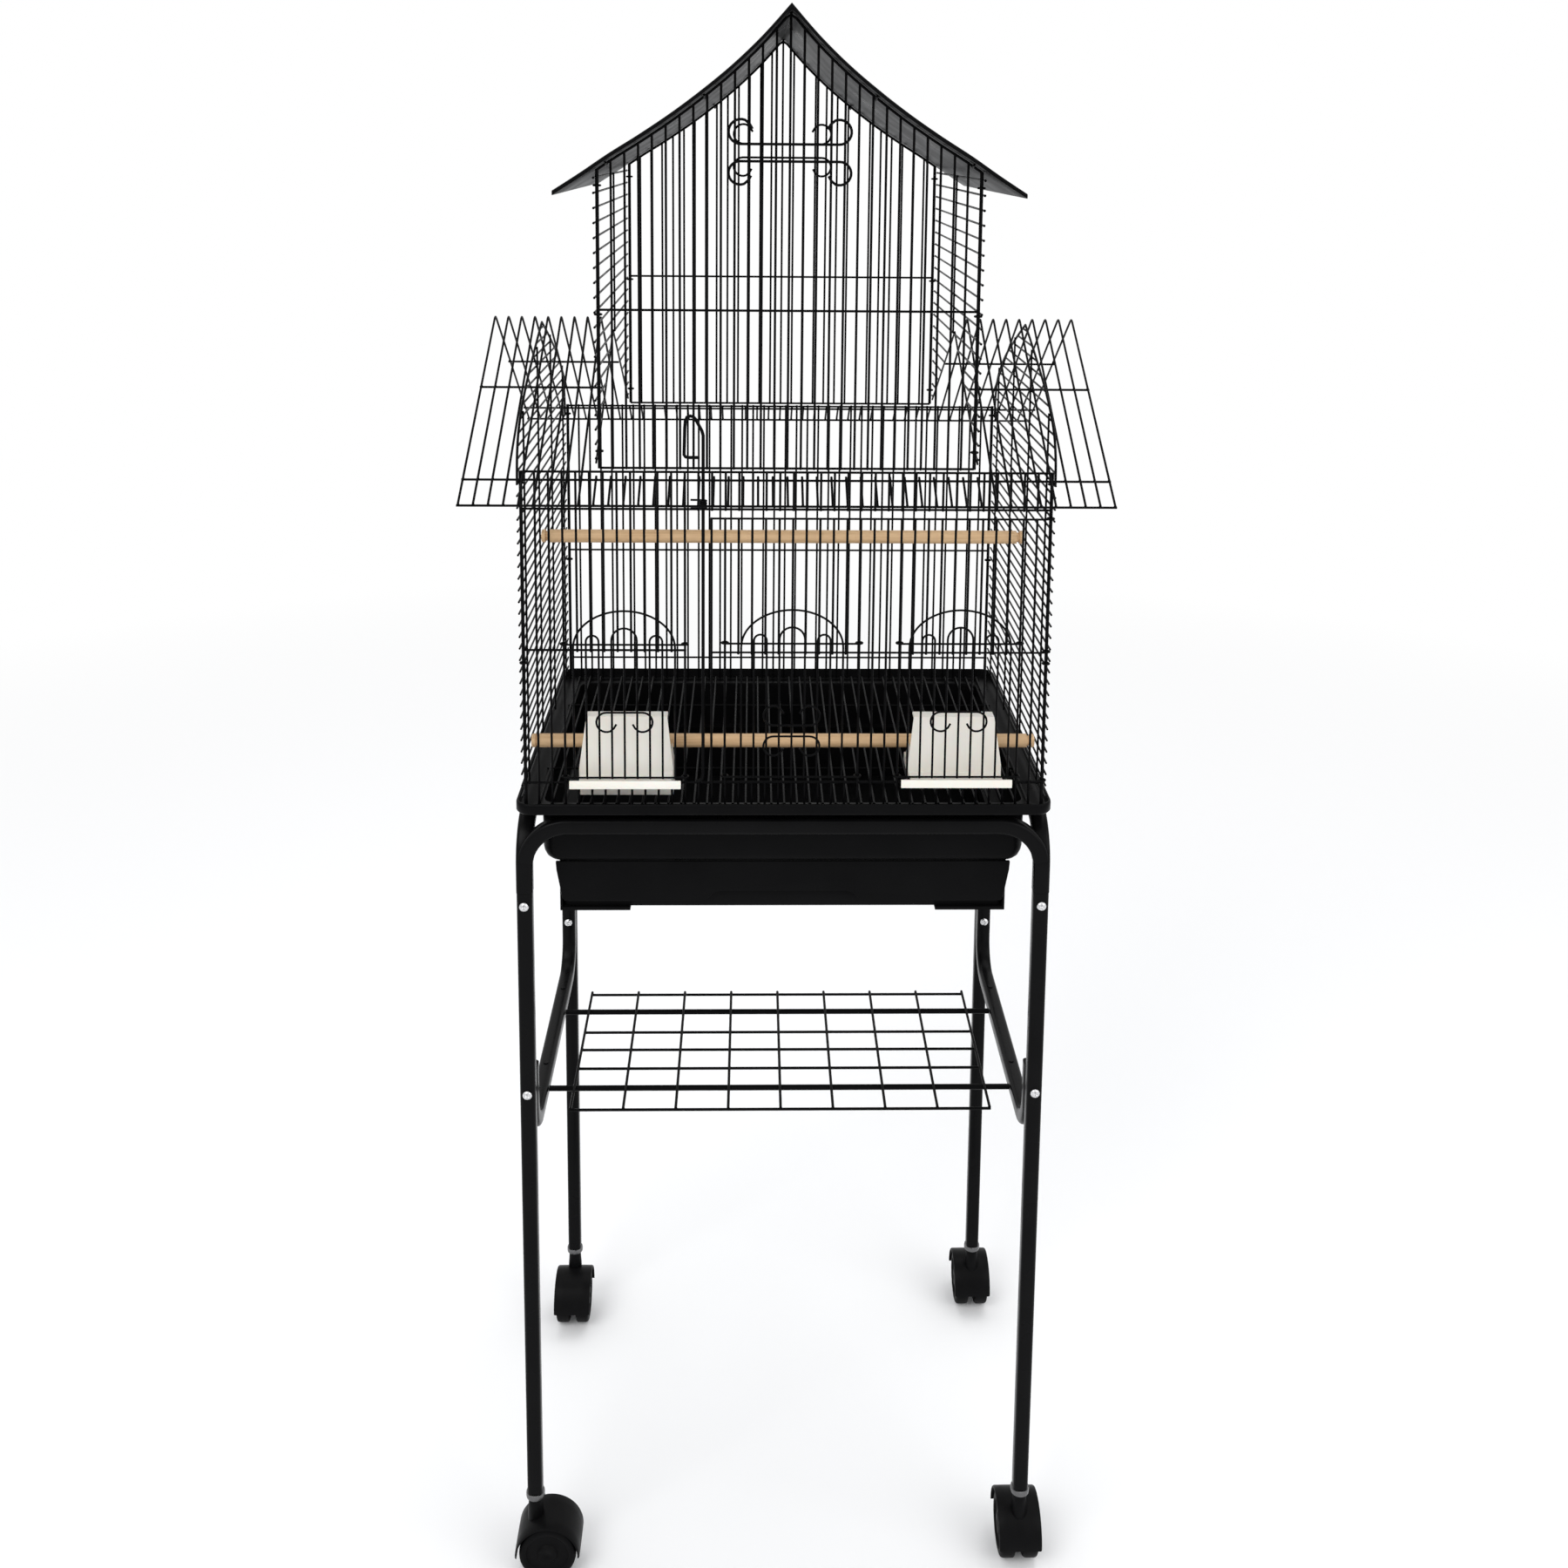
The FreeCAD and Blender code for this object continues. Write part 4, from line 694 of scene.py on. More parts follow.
class BIRDCAGE_OT_screws(bpy.types.Operator):
    """Cross-head screws of the stand"""
    bl_idname = "bird_cage.screws"
    bl_label = "Stand Screws"

    def execute(self, context):
        dome = [(0.0, 2.2), (1.4, 2.15), (2.6, 1.85), (3.5, 1.3), (4.05, 0.6), (4.15, 0.1), (4.0, 0.0),
                (0.0, 0.0)]
        head = solid_object("screw_head", *lathe(mm_pairs(dome), 24, lambda a, b, c: Vector((a, b, c))))
        bar = [(-2.1, -0.42), (2.1, -0.42), (2.1, 0.42), (-2.1, 0.42)]
        slots = []
        for turn in (0.0, 90.0):
            spin = Matrix.Rotation(math.radians(turn), 3, "Z")
            slots.append(prism(mm_pairs(bar), 1.0 * MM, 3.0 * MM,
                               lambda a, b, c, s=spin: s @ Vector((a, b, c))))
        tool = solid_object("screw_recess", *merge(slots))
        cut = head.modifiers.new("recess", "BOOLEAN")
        cut.operation = "DIFFERENCE"
        cut.solver = "EXACT"
        cut.use_self = True
        cut.object = tool
        leg_x = middle_of("leg_front_right")[0]
        places, turns = [], []
        for sx, sy in ((-1, -1), (1, -1), (-1, 1), (1, 1)):
            for z, face in ((0.649, sy), (0.474, -1)):
                behind = 0.0143 if sy > face else 0.0
                places.append((sx * leg_x, sy * 0.160 + face * 0.0073 - behind, z))
                turns += [math.radians(-90 * face), 0.0, 0.0]
        mesh = point_mesh("stand_screw_heads", places)
        mesh.attributes.new("face_turn", "FLOAT_VECTOR", "POINT").data.foreach_set("vector", turns)
        piece = run_tree(link_object("stand_screw_heads", mesh), group_of(scatter_tree),
                         {"Part": head, "Material": material("bright_zinc")}, "stand_screw_heads")
        settle(piece, "stand", ["stand_screws"])
        bpy.data.objects.remove(head)
        bpy.data.objects.remove(tool)
        return {"FINISHED"}


class BIRDCAGE_OT_shelf(bpy.types.Operator):
    """Wire shelf across the stretchers"""
    bl_idname = "bird_cage.shelf"
    bl_label = "Wire Shelf"

    def execute(self, context):
        low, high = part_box("wire_shelf")
        rod, gauge, left, pitch, count = 2.5 * MM, 1.3 * MM, -0.1908, 0.0477, 9
        rods = [([(low.x, y * MM, low.z + rod), (high.x, y * MM, low.z + rod)], rod) for y in (-81.5, 47.5)]
        wires("shelf_rods", rods, "stand", sides=12)
        top = high.z - gauge
        rows = (-116.5, -52.5, -21.5, 8.5, 77.5)
        first = [([(left, low.y, top), (left, high.y, top)], gauge)]
        wires("shelf_wires", first, "stand", ["wire_shelf"], count, (pitch, 0, 0))
        cross = [([(-0.1921, y * MM, top - 2.3 * MM), (0.1921, y * MM, top - 2.3 * MM)], gauge) for y in rows]
        wires("shelf_cross_wires", cross, "stand")
        points = [(left + pitch * k, y * MM, top - 1.15 * MM) for k in range(count) for y in rows]
        beads("shelf_welds", points, "stand", 0.0017)
        return {"FINISHED"}


class BIRDCAGE_OT_casters(bpy.types.Operator):
    """Twin-wheel casters with their sockets"""
    bl_idname = "bird_cage.casters"
    bl_label = "Casters"

    def execute(self, context):
        for corner, turn in zip(CORNERS, (0.0, 90.0, -90.0, 90.0)):
            x, y = middle_of("leg_" + corner)
            spin = Matrix.Translation((x, y, 0)) @ Matrix.Rotation(math.radians(turn), 4, "Z")
            self.socket(corner, x, y)
            self.yoke(corner, spin)
            self.wheels(corner, spin)
        return {"FINISHED"}

    def socket(self, corner, x, y):
        profile = [(4.05, 72), (7.6, 72), (8.4, 72.8), (8.5, 74), (8.5, 76), (8.2, 77.2), (7.4, 77.7),
                   (5.4, 77.7), (5.4, 101), (4.05, 101)]
        n = 32
        verts, faces = lathe(mm_pairs(profile), n, lambda a, b, c: Vector((x + a, y + b, c)))
        last = (len(profile) - 1) * n
        faces += [[last + k, k, (k + 1) % n, last + (k + 1) % n] for k in range(n)]
        mesh_piece("caster_ring_" + corner, verts, faces, "dull_zinc", "stand", "bright_ring",
                   ["caster_socket_" + corner])

    def yoke(self, corner, spin):
        skin = [(-19.5, 27.7, 28.0), (-19.2, 27.6, 28.7), (-18.0, 27.6, 29.3), (-10.0, 27.6, 29.4)]
        rows = skin + [(0.0, 27.6, 29.4)] + [(-w, inside, outside) for w, inside, outside in skin[::-1]]
        ring = [(r, w) for w, _, r in rows] + [(r, w) for w, r, _ in rows[::-1]]
        steps, m = 30, len(ring)
        verts, faces = [], []
        for a in (math.radians(-2 + 184 * k / steps) for k in range(steps + 1)):
            verts += [spin @ Vector(at_mm(TRAIL + r * math.cos(a), w, AXLE + r * math.sin(a)))
                      for r, w in ring]
        for k in range(steps):
            faces += [[k * m + j, k * m + (j + 1) % m, (k + 1) * m + (j + 1) % m, (k + 1) * m + j]
                      for j in range(m)]
        faces += [list(range(m))[::-1], [steps * m + j for j in range(m)]]
        web = arc((TRAIL, AXLE), 28.5, -4, 184, 24, lambda a, b: (a, b))
        web += arc((TRAIL, AXLE), 8.0, 200, 340, 8, lambda a, b: (a, b))
        plate = prism(mm_pairs(web), -2.5 * MM, 2.5 * MM, lambda a, b, c: spin @ Vector((a, c, b)))
        neck = [(0, 44), (7.4, 44), (7.2, 56), (6.6, 64), (6.2, 70.6), (5.6, 71.6), (4.0, 71.7), (4.0, 98),
                (0, 98)]
        stem = lathe(mm_pairs(neck), 24, lambda a, b, c: spin @ Vector((a, b, c)))
        mesh_piece("caster_hood_" + corner, *merge([(verts, faces), plate, stem]), "black_hood",
                   "swivel_" + corner, "caster_plastic", ["caster_yoke_" + corner], smooth=35.0)

    def wheels(self, corner, spin):
        half = [(0, 3.5), (23.0, 3.5), (24.9, 4.1), (25.87, 5.4), (25.97, 7), (25.97, 14.0), (25.6, 15.8),
                (24.5, 17.0), (22.8, 17.5), (20.4, 17.5), (19.6, 17.1), (18.6, 15.7), (17.4, 15.5),
                (10.4, 15.6), (9.4, 15.9), (8.8, 16.8), (8.0, 17.4), (3.6, 17.4), (2.4, 16.9), (0, 16.8)]

        def hub(a, b, c):
            return spin @ Vector((a + TRAIL * MM, c, b + AXLE * MM))

        parts = [lathe([(r * MM, h * MM * side) for r, h in half], 40, hub) for side in (-1, 1)]
        parts.append(lathe(mm_pairs([(0, -4), (3, -4), (3, 4), (0, 4)]), 16, hub))
        mesh_piece("caster_wheel_pair_" + corner, *merge(parts), "black_tread", "wheels_" + corner,
                   "caster_tread", ["caster_wheels_" + corner], smooth=35.0)


class BIRDCAGE_OT_base(bpy.types.Operator):
    """Base tub, pull-out tray and floor grate"""
    bl_idname = "bird_cage.base"
    bl_label = "Base"

    def execute(self, context):
        sections = [
            (190, 143, 8, 684), (190.4, 143.2, 8, 682.3), (191, 143.6, 8, 682), (198, 147.2, 9, 682),
            (202, 148.6, 10, 682.9), (205.2, 150.0, 11, 685.4), (207.2, 151.0, 12, 689.4),
            (208, 151.5, 12, 694), (208.4, 151.7, 12, 731.4), (208.9, 152.2, 12.4, 733.2),
            (210.2, 153.6, 13, 734), (225.6, 171.6, 13, 734), (227.2, 173.2, 14, 734.5),
            (228, 174, 14, 736), (228, 174, 14, 742.4), (227.6, 173.6, 13.6, 743.6),
            (226.8, 172.8, 12.8, 744), (226.2, 172.2, 12.2, 743.8), (225.7, 171.7, 11.7, 743),
            (225.5, 171.5, 11.5, 737), (225, 171, 11, 736.2), (224, 170, 10, 736), (207.4, 151, 11, 736),
            (206.4, 150, 10.5, 735.6), (206, 149.5, 10, 734.6), (205.6, 149.3, 10, 700), (203, 148, 9, 692),
            (190, 143, 8, 690)]
        mesh_piece("tub_shell", *loft([at_mm(*row) for row in sections]), "black_base", "stand",
                   "base_plastic", ["base_tub"], smooth=50.0)
        parts = []
        for side in (-1, 1):
            outline = [(192, 683), (194, 683), (194, 634), (133, 634), (133, 637), (192, 637)]
            parts.append(slab([(side * a, b) for a, b in outline], -144.5, 144.5))
            pad = [(216, 727.3), (224, 727.3), (224, 734.5), (216, 734.5)]
            parts += [slab([(side * a, b) for a, b in pad], y - 15, y + 15) for y in (-95, 95)]
        parts.append(slab([(-194, 634), (194, 634), (194, 683), (-194, 683)], 142.5, 144.5))
        mesh_piece("tray_runners", *merge(parts), "black_base", "stand", "base_plastic", bevel=0.0005)
        self.tray(context)
        self.grate(context)
        return {"FINISHED"}

    def tray(self, context):
        wall = [
            (190.4, 140.4, 4, 637.8), (189.9, 139.9, 4, 637.3), (0.5, 0.5, 0.2, 637.3),
            (0.5, 0.5, 0.2, 639.3), (188.4, 138.4, 3, 639.3), (188.5, 138.5, 3, 672.6),
            (188.8, 138.8, 3, 673.2), (190.0, 140.0, 4, 673.3), (190.5, 140.5, 4, 672.7)]
        verts, faces = loft([at_mm(*row) for row in wall])
        verts = [(x, y - 2 * MM, z) for x, y, z in verts]
        mesh_piece("tray_box", verts, faces, "black_base", "tray", "base_plastic", smooth=50.0)
        top, low, wide, grip = 681.3, 645.0, 197.0, 67.0
        left = [(-wide, top), (-wide + 0.6, top - 8), (-191.6, low + 2.5), (-189.5, low), (-grip - 4, low),
                (-grip + 1, low + 1.6), (-grip + 6, low + 6.8), (-grip + 12, low + 9)]
        plate = slab(left + [(-a, b) for a, b in left[::-1]], -149.0, -146.0)
        link = slab([(-155, 662.0), (155, 662.0), (155, 670.0), (-155, 670.0)], -147.0, -142.0)
        mesh_piece("tray_front", *merge([plate, link]), "black_base", "tray", "base_plastic",
                   ["pull_out_tray"], bevel=0.0008)

    def grate(self, context):
        gauge = context.scene.cage_wires.wire
        low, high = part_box("floor_grate")
        top, left, pitch, count = high.z - gauge, -0.209, 0.011, 39
        first = [([(left, low.y, top), (left, high.y, top)], gauge)]
        wires("grate_wires", first, "stand", ["floor_grate"], count, (pitch, 0, 0))
        rows = (-158.8, -80.0, 0.0, 80.0, 158.8)
        cross = [([(low.x, y * MM, low.z + gauge), (high.x, y * MM, low.z + gauge)], gauge) for y in rows]
        wires("grate_cross_wires", cross, "stand")
        points = [(left + pitch * k, y * MM, top - gauge) for k in range(count) for y in rows]
        beads("grate_welds", points, "stand")


class BIRDCAGE_OT_lower_walls(bpy.types.Operator):
    """Front, back and side walls of the lower cage"""
    bl_idname = "bird_cage.lower_walls"
    bl_label = "Lower Walls"

    def execute(self, context):
        w = context.scene.cage_wires
        self.front(w)
        self.back(w)
        for side, name in SIDES:
            self.side_wall(w, side, name)
        return {"FINISHED"}

    def front(self, w):
        y, inner = -WALL_Y, -WALL_INNER_Y
        left, pitch = -CAGE_HALF, w.front_pitch
        foot, sill, top = WALL_ROWS
        step, full_rows = (pitch, 0, 0), (foot, WALL_LINTEL, top)
        hatch, hatch_end, over = 4, 12, 0.9964

        def rod(index, z0, z1):
            x = left + index * pitch
            return [([(x, y, z0), (x, y, z1)], w.wire)]

        wires("front_wire_feet", rod(1, WALL_FOOT, 0.7606), "stand", ["front_panel"], 38, step)
        wires("front_wire_tops", rod(1, 0.9962, WALL_TOP), "stand", (), 38, step)
        wires("front_wires_left", rod(1, 0.7604, over), "stand", (), hatch - 1, step)
        wires("front_wires_over_hatch", rod(hatch, 0.8750, over), "stand", (), hatch_end - hatch, step)
        lines = rod(hatch_end, 0.7604, over)
        lines += [([(left, inner, z), (-left, inner, z)], w.wire) for z in full_rows]
        lines.append(([(left, inner, sill), (left + hatch_end * pitch + 0.001, inner, sill)], w.wire))
        wires("front_cross_wires", lines, "stand")
        corner_posts("front_posts", "front_post_hooks", CAGE_HALF, y, WALL_FOOT, WALL_TOP, (0.8655, 1.0195))
        weld_y = y + w.wire * 0.85
        points = [(left + k * pitch, weld_y, z) for k in range(1, 39) for z in full_rows]
        points += [(left + k * pitch, weld_y, sill) for k in range(1, hatch_end + 1)]
        beads("front_welds", points, "stand")

    def back(self, w):
        y, inner = WALL_Y, WALL_INNER_Y
        left, pitch = -CAGE_HALF, w.front_pitch
        first = [([(left + pitch, y, WALL_FOOT), (left + pitch, y, WALL_TOP)], w.wire)]
        wires("back_wires", first, "stand", ["back_panel"], 38, (pitch, 0, 0))
        lines = [([(left, inner, z), (-left, inner, z)], w.wire) for z in WALL_ROWS]
        wires("back_cross_wires", lines, "stand")
        corner_posts("back_posts", "back_post_hooks", CAGE_HALF, y, WALL_FOOT, WALL_TOP, (0.8655, 1.0195))
        points = [(left + k * pitch, y - w.wire * 0.85, z) for k in range(1, 39) for z in WALL_ROWS]
        beads("back_welds", points, "stand")

    def gable(self):
        """Front half of the gable edge as (distance from the middle, height)."""
        shape = [(1.0, 0.0), (0.985, 0.17), (0.93, 0.33), (0.82, 0.47), (0.64, 0.62), (0.42, 0.76),
                 (0.2, 0.89), (0.0, 1.0)]
        pts = smooth_path([(0.165 * a, 0.0, 1.021 + 0.112 * b) for a, b in shape], 5)
        return [(p.x, p.z) for p in pts]

    def reach(self, edge, z):
        """How far from the middle the gable edge stands at a height."""
        for (y0, z0), (y1, z1) in zip(edge, edge[1:]):
            if z0 <= z <= z1:
                return y0 + (y1 - y0) * (z - z0) / (z1 - z0)
        return edge[0][0] if z < edge[0][1] else 0.0

    def side_wall(self, w, side, name):
        x, inner = side * SIDE_X, side * (SIDE_X - 2 * w.fine + 0.0003)
        edge = self.gable()
        start, pitch, full = 0.74825, w.side_pitch, 28
        uprights, rim = (-0.135, -0.045, 0.045, 0.135), 0.0011
        first = [([(x, -SIDE_REACH, start), (x, SIDE_REACH, start)], w.fine)]
        wires("side_wires_" + name, first, "stand", ["side_panel_" + name], full, (0, 0, pitch))
        lines = []
        for z in (start + k * pitch for k in range(full, 39)):
            y = self.reach(edge, z)
            if y > 0.004:
                lines.append(([(x, -y, z), (x, y, z)], w.fine))
        for y in uprights:
            top = max(z for z in (start + 0.0001 * k for k in range(3900)) if self.reach(edge, z) > abs(y))
            lines.append(([(inner, y, start - 0.002), (inner, y, top)], w.fine))
        outline = [(x, -y, z) for y, z in edge] + [(x, y, z) for y, z in edge[::-1][1:]]
        lines.append((outline, rim))
        lines += [([(x, y, 1.0175), (x, y, 1.022)], rim) for y in (-WALL_Y, WALL_Y)]
        wires("side_gable_" + name, lines, "stand")
        points = [(x - side * w.fine * 0.85, y, start + k * pitch) for k in range(full) for y in uprights]
        beads("side_welds_" + name, points, "stand", 0.0012)


def scroll_line(x, y, z, half, drop, upward):
    """A level bar whose two ends curl over and hook back towards the middle."""
    curl = drop / 2
    sign = 1 if upward else -1
    end = arc((half - curl, curl), curl, -90, 110, 14, lambda a, b: (a, b))
    end += [(half - 1.72 * curl, 1.62 * curl), (half - 1.95 * curl, 1.22 * curl)]
    line = [(-a, b) for a, b in end[::-1]] + end
    return [(x + a, y, z + sign * b) for a, b in line]


def door_lines(x, plane, base, guides, w, scrolls):
    """All wires of one sliding door."""
    level = -(plane + w.wire + 0.0006 + w.fine)
    bars = level - 2 * w.fine + 0.0003
    grip = bars - 2 * w.fine + 0.0002
    pitch, top = 0.0106, base + 0.146
    half = 4 * pitch
    shoulder = base + 0.1140

    def hoop(middle, reach, spring, rise, steps):
        """Two legs with a round top between them."""
        bow = [(middle + reach * math.cos(t), bars, spring + rise * math.sin(t))
               for t in (math.pi * k / steps for k in range(steps + 1))]
        return [(middle + reach, bars, base)] + bow + [(middle - reach, bars, base)], w.fine

    lines = [hoop(x, half, shoulder, top - shoulder, 28)]
    for a, b in ((-3, -2), (2, 3), (-1, 1)):
        reach = (b - a) / 2 * pitch
        spring = base + (0.1195 if abs(a + b) > 1 else 0.1205)
        lines.append(hoop(x + (a + b) / 2 * pitch, reach, spring, reach, 14))
    lines.append(([(x, bars, base), (x, bars, base + 0.1205 + pitch)], w.fine))
    for z in (base, base + 0.1165):
        ends = []
        for guide, sign in zip(guides, (-1, 1)):
            loop = arc((guide, -plane), GUIDE_RING, 270, 270 + sign * 330, 14, lambda a, b: (a, b, z))
            ends.append([(guide - sign * 0.004, level, z)] + loop)
        lines.append((ends[0][::-1] + ends[1], w.fine))
    for z, half_grip, drop, upward in scrolls:
        lines.append((scroll_line(x, grip, base + z, half_grip, drop, upward), w.fine))
    points = [(x + k * pitch, bars + w.fine * 0.8, z) for k in range(-4, 5) for z in (base, base + 0.1165)]
    return lines, points


class BIRDCAGE_OT_doors(bpy.types.Operator):
    """Large hinged door, the three sliding doors and the latch rod"""
    bl_idname = "bird_cage.doors"
    bl_label = "Doors and Latch"

    def execute(self, context):
        w = context.scene.cage_wires
        plane, inner = -0.1705, -0.1688
        left, pitch = -0.062, 0.0112
        step = (pitch, 0, 0)

        def rod(index, z0, z1):
            x = left + index * pitch
            return [([(x, plane, z0), (x, plane, z1)], w.wire)]

        wires("door_upper_wires", rod(0, 0.8750, 0.9915), "door", ["front_door"], 25, step)
        for first, count in ((0, 2), (11, 4), (23, 2)):
            wires("door_lower_wires_%d" % first, rod(first, 0.7615, 0.8752), "door", (), count, step)
        lines = []
        for z in (0.7625, 0.876, 0.9905):
            hinge = arc((CAGE_HALF, -WALL_Y), TIE_RING, 262, 590, 16, lambda a, b: (a, b, z))
            lines.append(([(left - 0.001, inner, z), (0.2135, inner, z)] + hinge, w.fine))
        wires("door_cross_wires", lines, "door")
        points = [(left + k * pitch, plane + w.wire * 0.85, z) for k in range(25) for z in (0.876, 0.9905)]
        points += [(left + k * pitch, plane + w.wire * 0.85, 0.7625) for k in (0, 1, 11, 12, 13, 14, 23, 24)]
        beads("door_welds", points, "door")
        lift = [(0.0585, 0.0235, 0.017, False)]
        cross = [(0.0465, 0.0235, 0.017, True), (0.037, 0.0235, 0.017, False)]
        cage_left, cage_pitch = -CAGE_HALF, w.front_pitch
        sets = (
            ("left", "slide_left", (cage_left + 3 * cage_pitch, cage_left + 12 * cage_pitch), 0.165, 0.7655,
             lift),
            ("centre", "slide_centre", (left + pitch, left + 11 * pitch), 0.1705, 0.7685, cross),
            ("right", "slide_right", (left + 14 * pitch, left + 23 * pitch), 0.1705, 0.7685, lift))
        for name, body, guides, depth, base, scrolls in sets:
            lines, points = door_lines(sum(guides) / 2, depth, base, guides, w, scrolls)
            wires("sliding_door_wires_" + name, lines, body, ["sliding_door_" + name])
            beads("sliding_door_welds_" + name, points, body, 0.0012)
        self.latch()
        return {"FINISHED"}

    def latch(self):
        x, y = -0.069, -0.1693
        gauge = 0.0014
        wide = 0.0150
        loop = [(x - 0.0062, 0.7637), (x - 0.0035, 0.7632), (x - 0.0008, 0.7652), (x, 0.770), (x, 1.0600)]
        loop += [(x - 0.0010, 1.0638), (x - 0.0062, 1.0735), (x - 0.0080, 1.0755), (x - 0.0105, 1.0762)]
        loop += [(x - 0.0132, 1.0752), (x - 0.0145, 1.0722), (x - wide, 1.0660), (x - wide - 0.0006, 1.0440)]
        loop += [(x - wide + 0.0006, 1.0422), (x - wide + 0.0030, 1.0417), (x - 0.0028, 1.0417)]
        wires("latch_rod_wire", [([(a, y, b) for a, b in loop], gauge)], "latch", ["latch_rod"], sides=12)
        rings = [(ring_path(x, y, z, GUIDE_RING), TIE_WIRE) for z in (0.9995, 1.0015, 1.0035, 1.0055)]
        rings += [([(x - 0.0105, y + 0.0032, z), (x - 0.002, y + 0.0028, z)], TIE_WIRE)
                  for z in (0.9995, 1.0055)]
        wires("latch_guide", rings, "stand", ["latch_clip"])


class BIRDCAGE_OT_cups(bpy.types.Operator):
    """Hooded feeder cups"""
    bl_idname = "bird_cage.cups"
    bl_label = "Feeder Cups"

    def execute(self, context):
        for name, body in (("left", "stand"), ("right", "door")):
            node = "feeder_cup_" + name
            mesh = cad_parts[node].data.copy()
            shaped(mesh, "seed_cup_" + name, "cream_plastic", body, [node], bevel=0.0007,
                   segments=3)
        return {"FINISHED"}


class BIRDCAGE_OT_perches(bpy.types.Operator):
    """Wooden perches"""
    bl_idname = "bird_cage.perches"
    bl_label = "Perches"

    def execute(self, context):
        for name in ("upper", "lower"):
            low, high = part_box("perch_" + name)
            y, z, end = (low.y + high.y) / 2, (low.z + high.z) / 2, high.x
            r = (high.z - low.z) / 2
            side = [(0, -end), (r - 0.0008, -end), (r, 0.0008 - end), (r, 0.0035 - end),
                    (r - 0.0016, 0.0037 - end), (r - 0.0016, 0.0063 - end), (r, 0.0065 - end)]
            middle = [(r * (1 - 0.006 * math.sin(k * 1.7)), -end + 0.0065 + (2 * end - 0.013) * k / 12)
                      for k in range(1, 12)]
            profile = side + middle + [(a, -b) for a, b in side[::-1]]
            verts, faces = lathe(profile, 24, lambda a, b, c: Vector((c, y + a, z + b)))
            mesh_piece("perch_dowel_" + name, verts, faces, "bare_wood", "stand", "perch_wood",
                       ["perch_" + name])
        return {"FINISHED"}


class BIRDCAGE_OT_lower_roof(bpy.types.Operator):
    """Wire roof of the lower cage: two wings and the short slopes between them"""
    bl_idname = "bird_cage.lower_roof"
    bl_label = "Lower Roof"

    def execute(self, context):
        w = context.scene.cage_wires
        ridge, slope, deep, near, eaves = 1.139, 0.65, 0.1999, 0.173, (0.1745, 0.199)
        pitch, wing_x, wing_end, skirt_x, skirt_end = 0.012, 0.168, 0.2655, 0.156, 0.163

        def height(y):
            return ridge - slope * abs(y)

        def crossed(name, rows, lengths, uprights):
            """Cross wires under the sloping ones at each distance from the middle, and their welds."""
            cross, points = [], []
            for y, (x0, x1) in zip(rows, lengths):
                z = height(y) - 0.0018
                cross.append(([(x0, y, z), (x1, y, z)], w.wire))
                points += [(x, y, z + 0.0009) for x in uprights]
            wires(name[0], cross, "stand")
            beads(name[1], points, "stand")

        crown = [(y, height(drop)) for y, drop in ((0.0045, 0.0045), (0.0030, 0.0033), (0.0012, 0.0024),
                                                   (0.0, 0.0021))]
        half = [(deep, height(deep))] + crown
        bent = [(-a, b) for a, b in half] + [(a, b) for a, b in half[::-1][1:]]
        for side, name in SIDES:
            line = [([(side * wing_x, a, b) for a, b in bent], w.wire)]
            wires("wing_wires_" + name, line, "stand", ["roof_wing_" + name], 9, (side * pitch, 0, 0))
            rows = [s * y for y in (0.080, *eaves) for s in (-1, 1)]
            lengths = [(side * inner, side * wing_end) for inner in (0.1585, 0.162, 0.162) for _ in (0, 1)]
            crossed(("wing_cross_wires_" + name, "wing_welds_" + name), rows, lengths,
                    [side * (wing_x + pitch * k) for k in range(9)])
        for end, name in ENDS:
            line = [([(-skirt_x, end * deep, height(deep)), (-skirt_x, end * near, height(near))], w.wire)]
            wires("skirt_wires_" + name, line, "stand", ["roof_skirt_" + name], 27, (pitch, 0, 0))
            crossed(("skirt_cross_wires_" + name, "skirt_welds_" + name), [end * y for y in eaves],
                    [(-skirt_end, skirt_end)] * 2, [-skirt_x + pitch * k for k in range(27)])
        return {"FINISHED"}


HAT_LINE = [(0.0, 1404.0), (22.0, 1379.5), (45.0, 1357.5), (68.0, 1338.5), (92.0, 1320.5), (118.0, 1303.0),
            (143.0, 1287.4), (165.0, 1272.5), (187.0, 1258.4)]


def hat_curve():
    """Half outline of the plastic roof in metres, smoothed."""
    return [(p.x, p.z) for p in smooth_path([(x * MM, 0, z * MM) for x, z in HAT_LINE], 4)]


def hat_height(x):
    """Height of the plastic roof's top at a distance from the middle."""
    line = hat_curve()
    for (x0, z0), (x1, z1) in zip(line, line[1:]):
        if x0 <= abs(x) <= x1:
            return z0 + (z1 - z0) * (abs(x) - x0) / (x1 - x0)
    return line[-1][1]


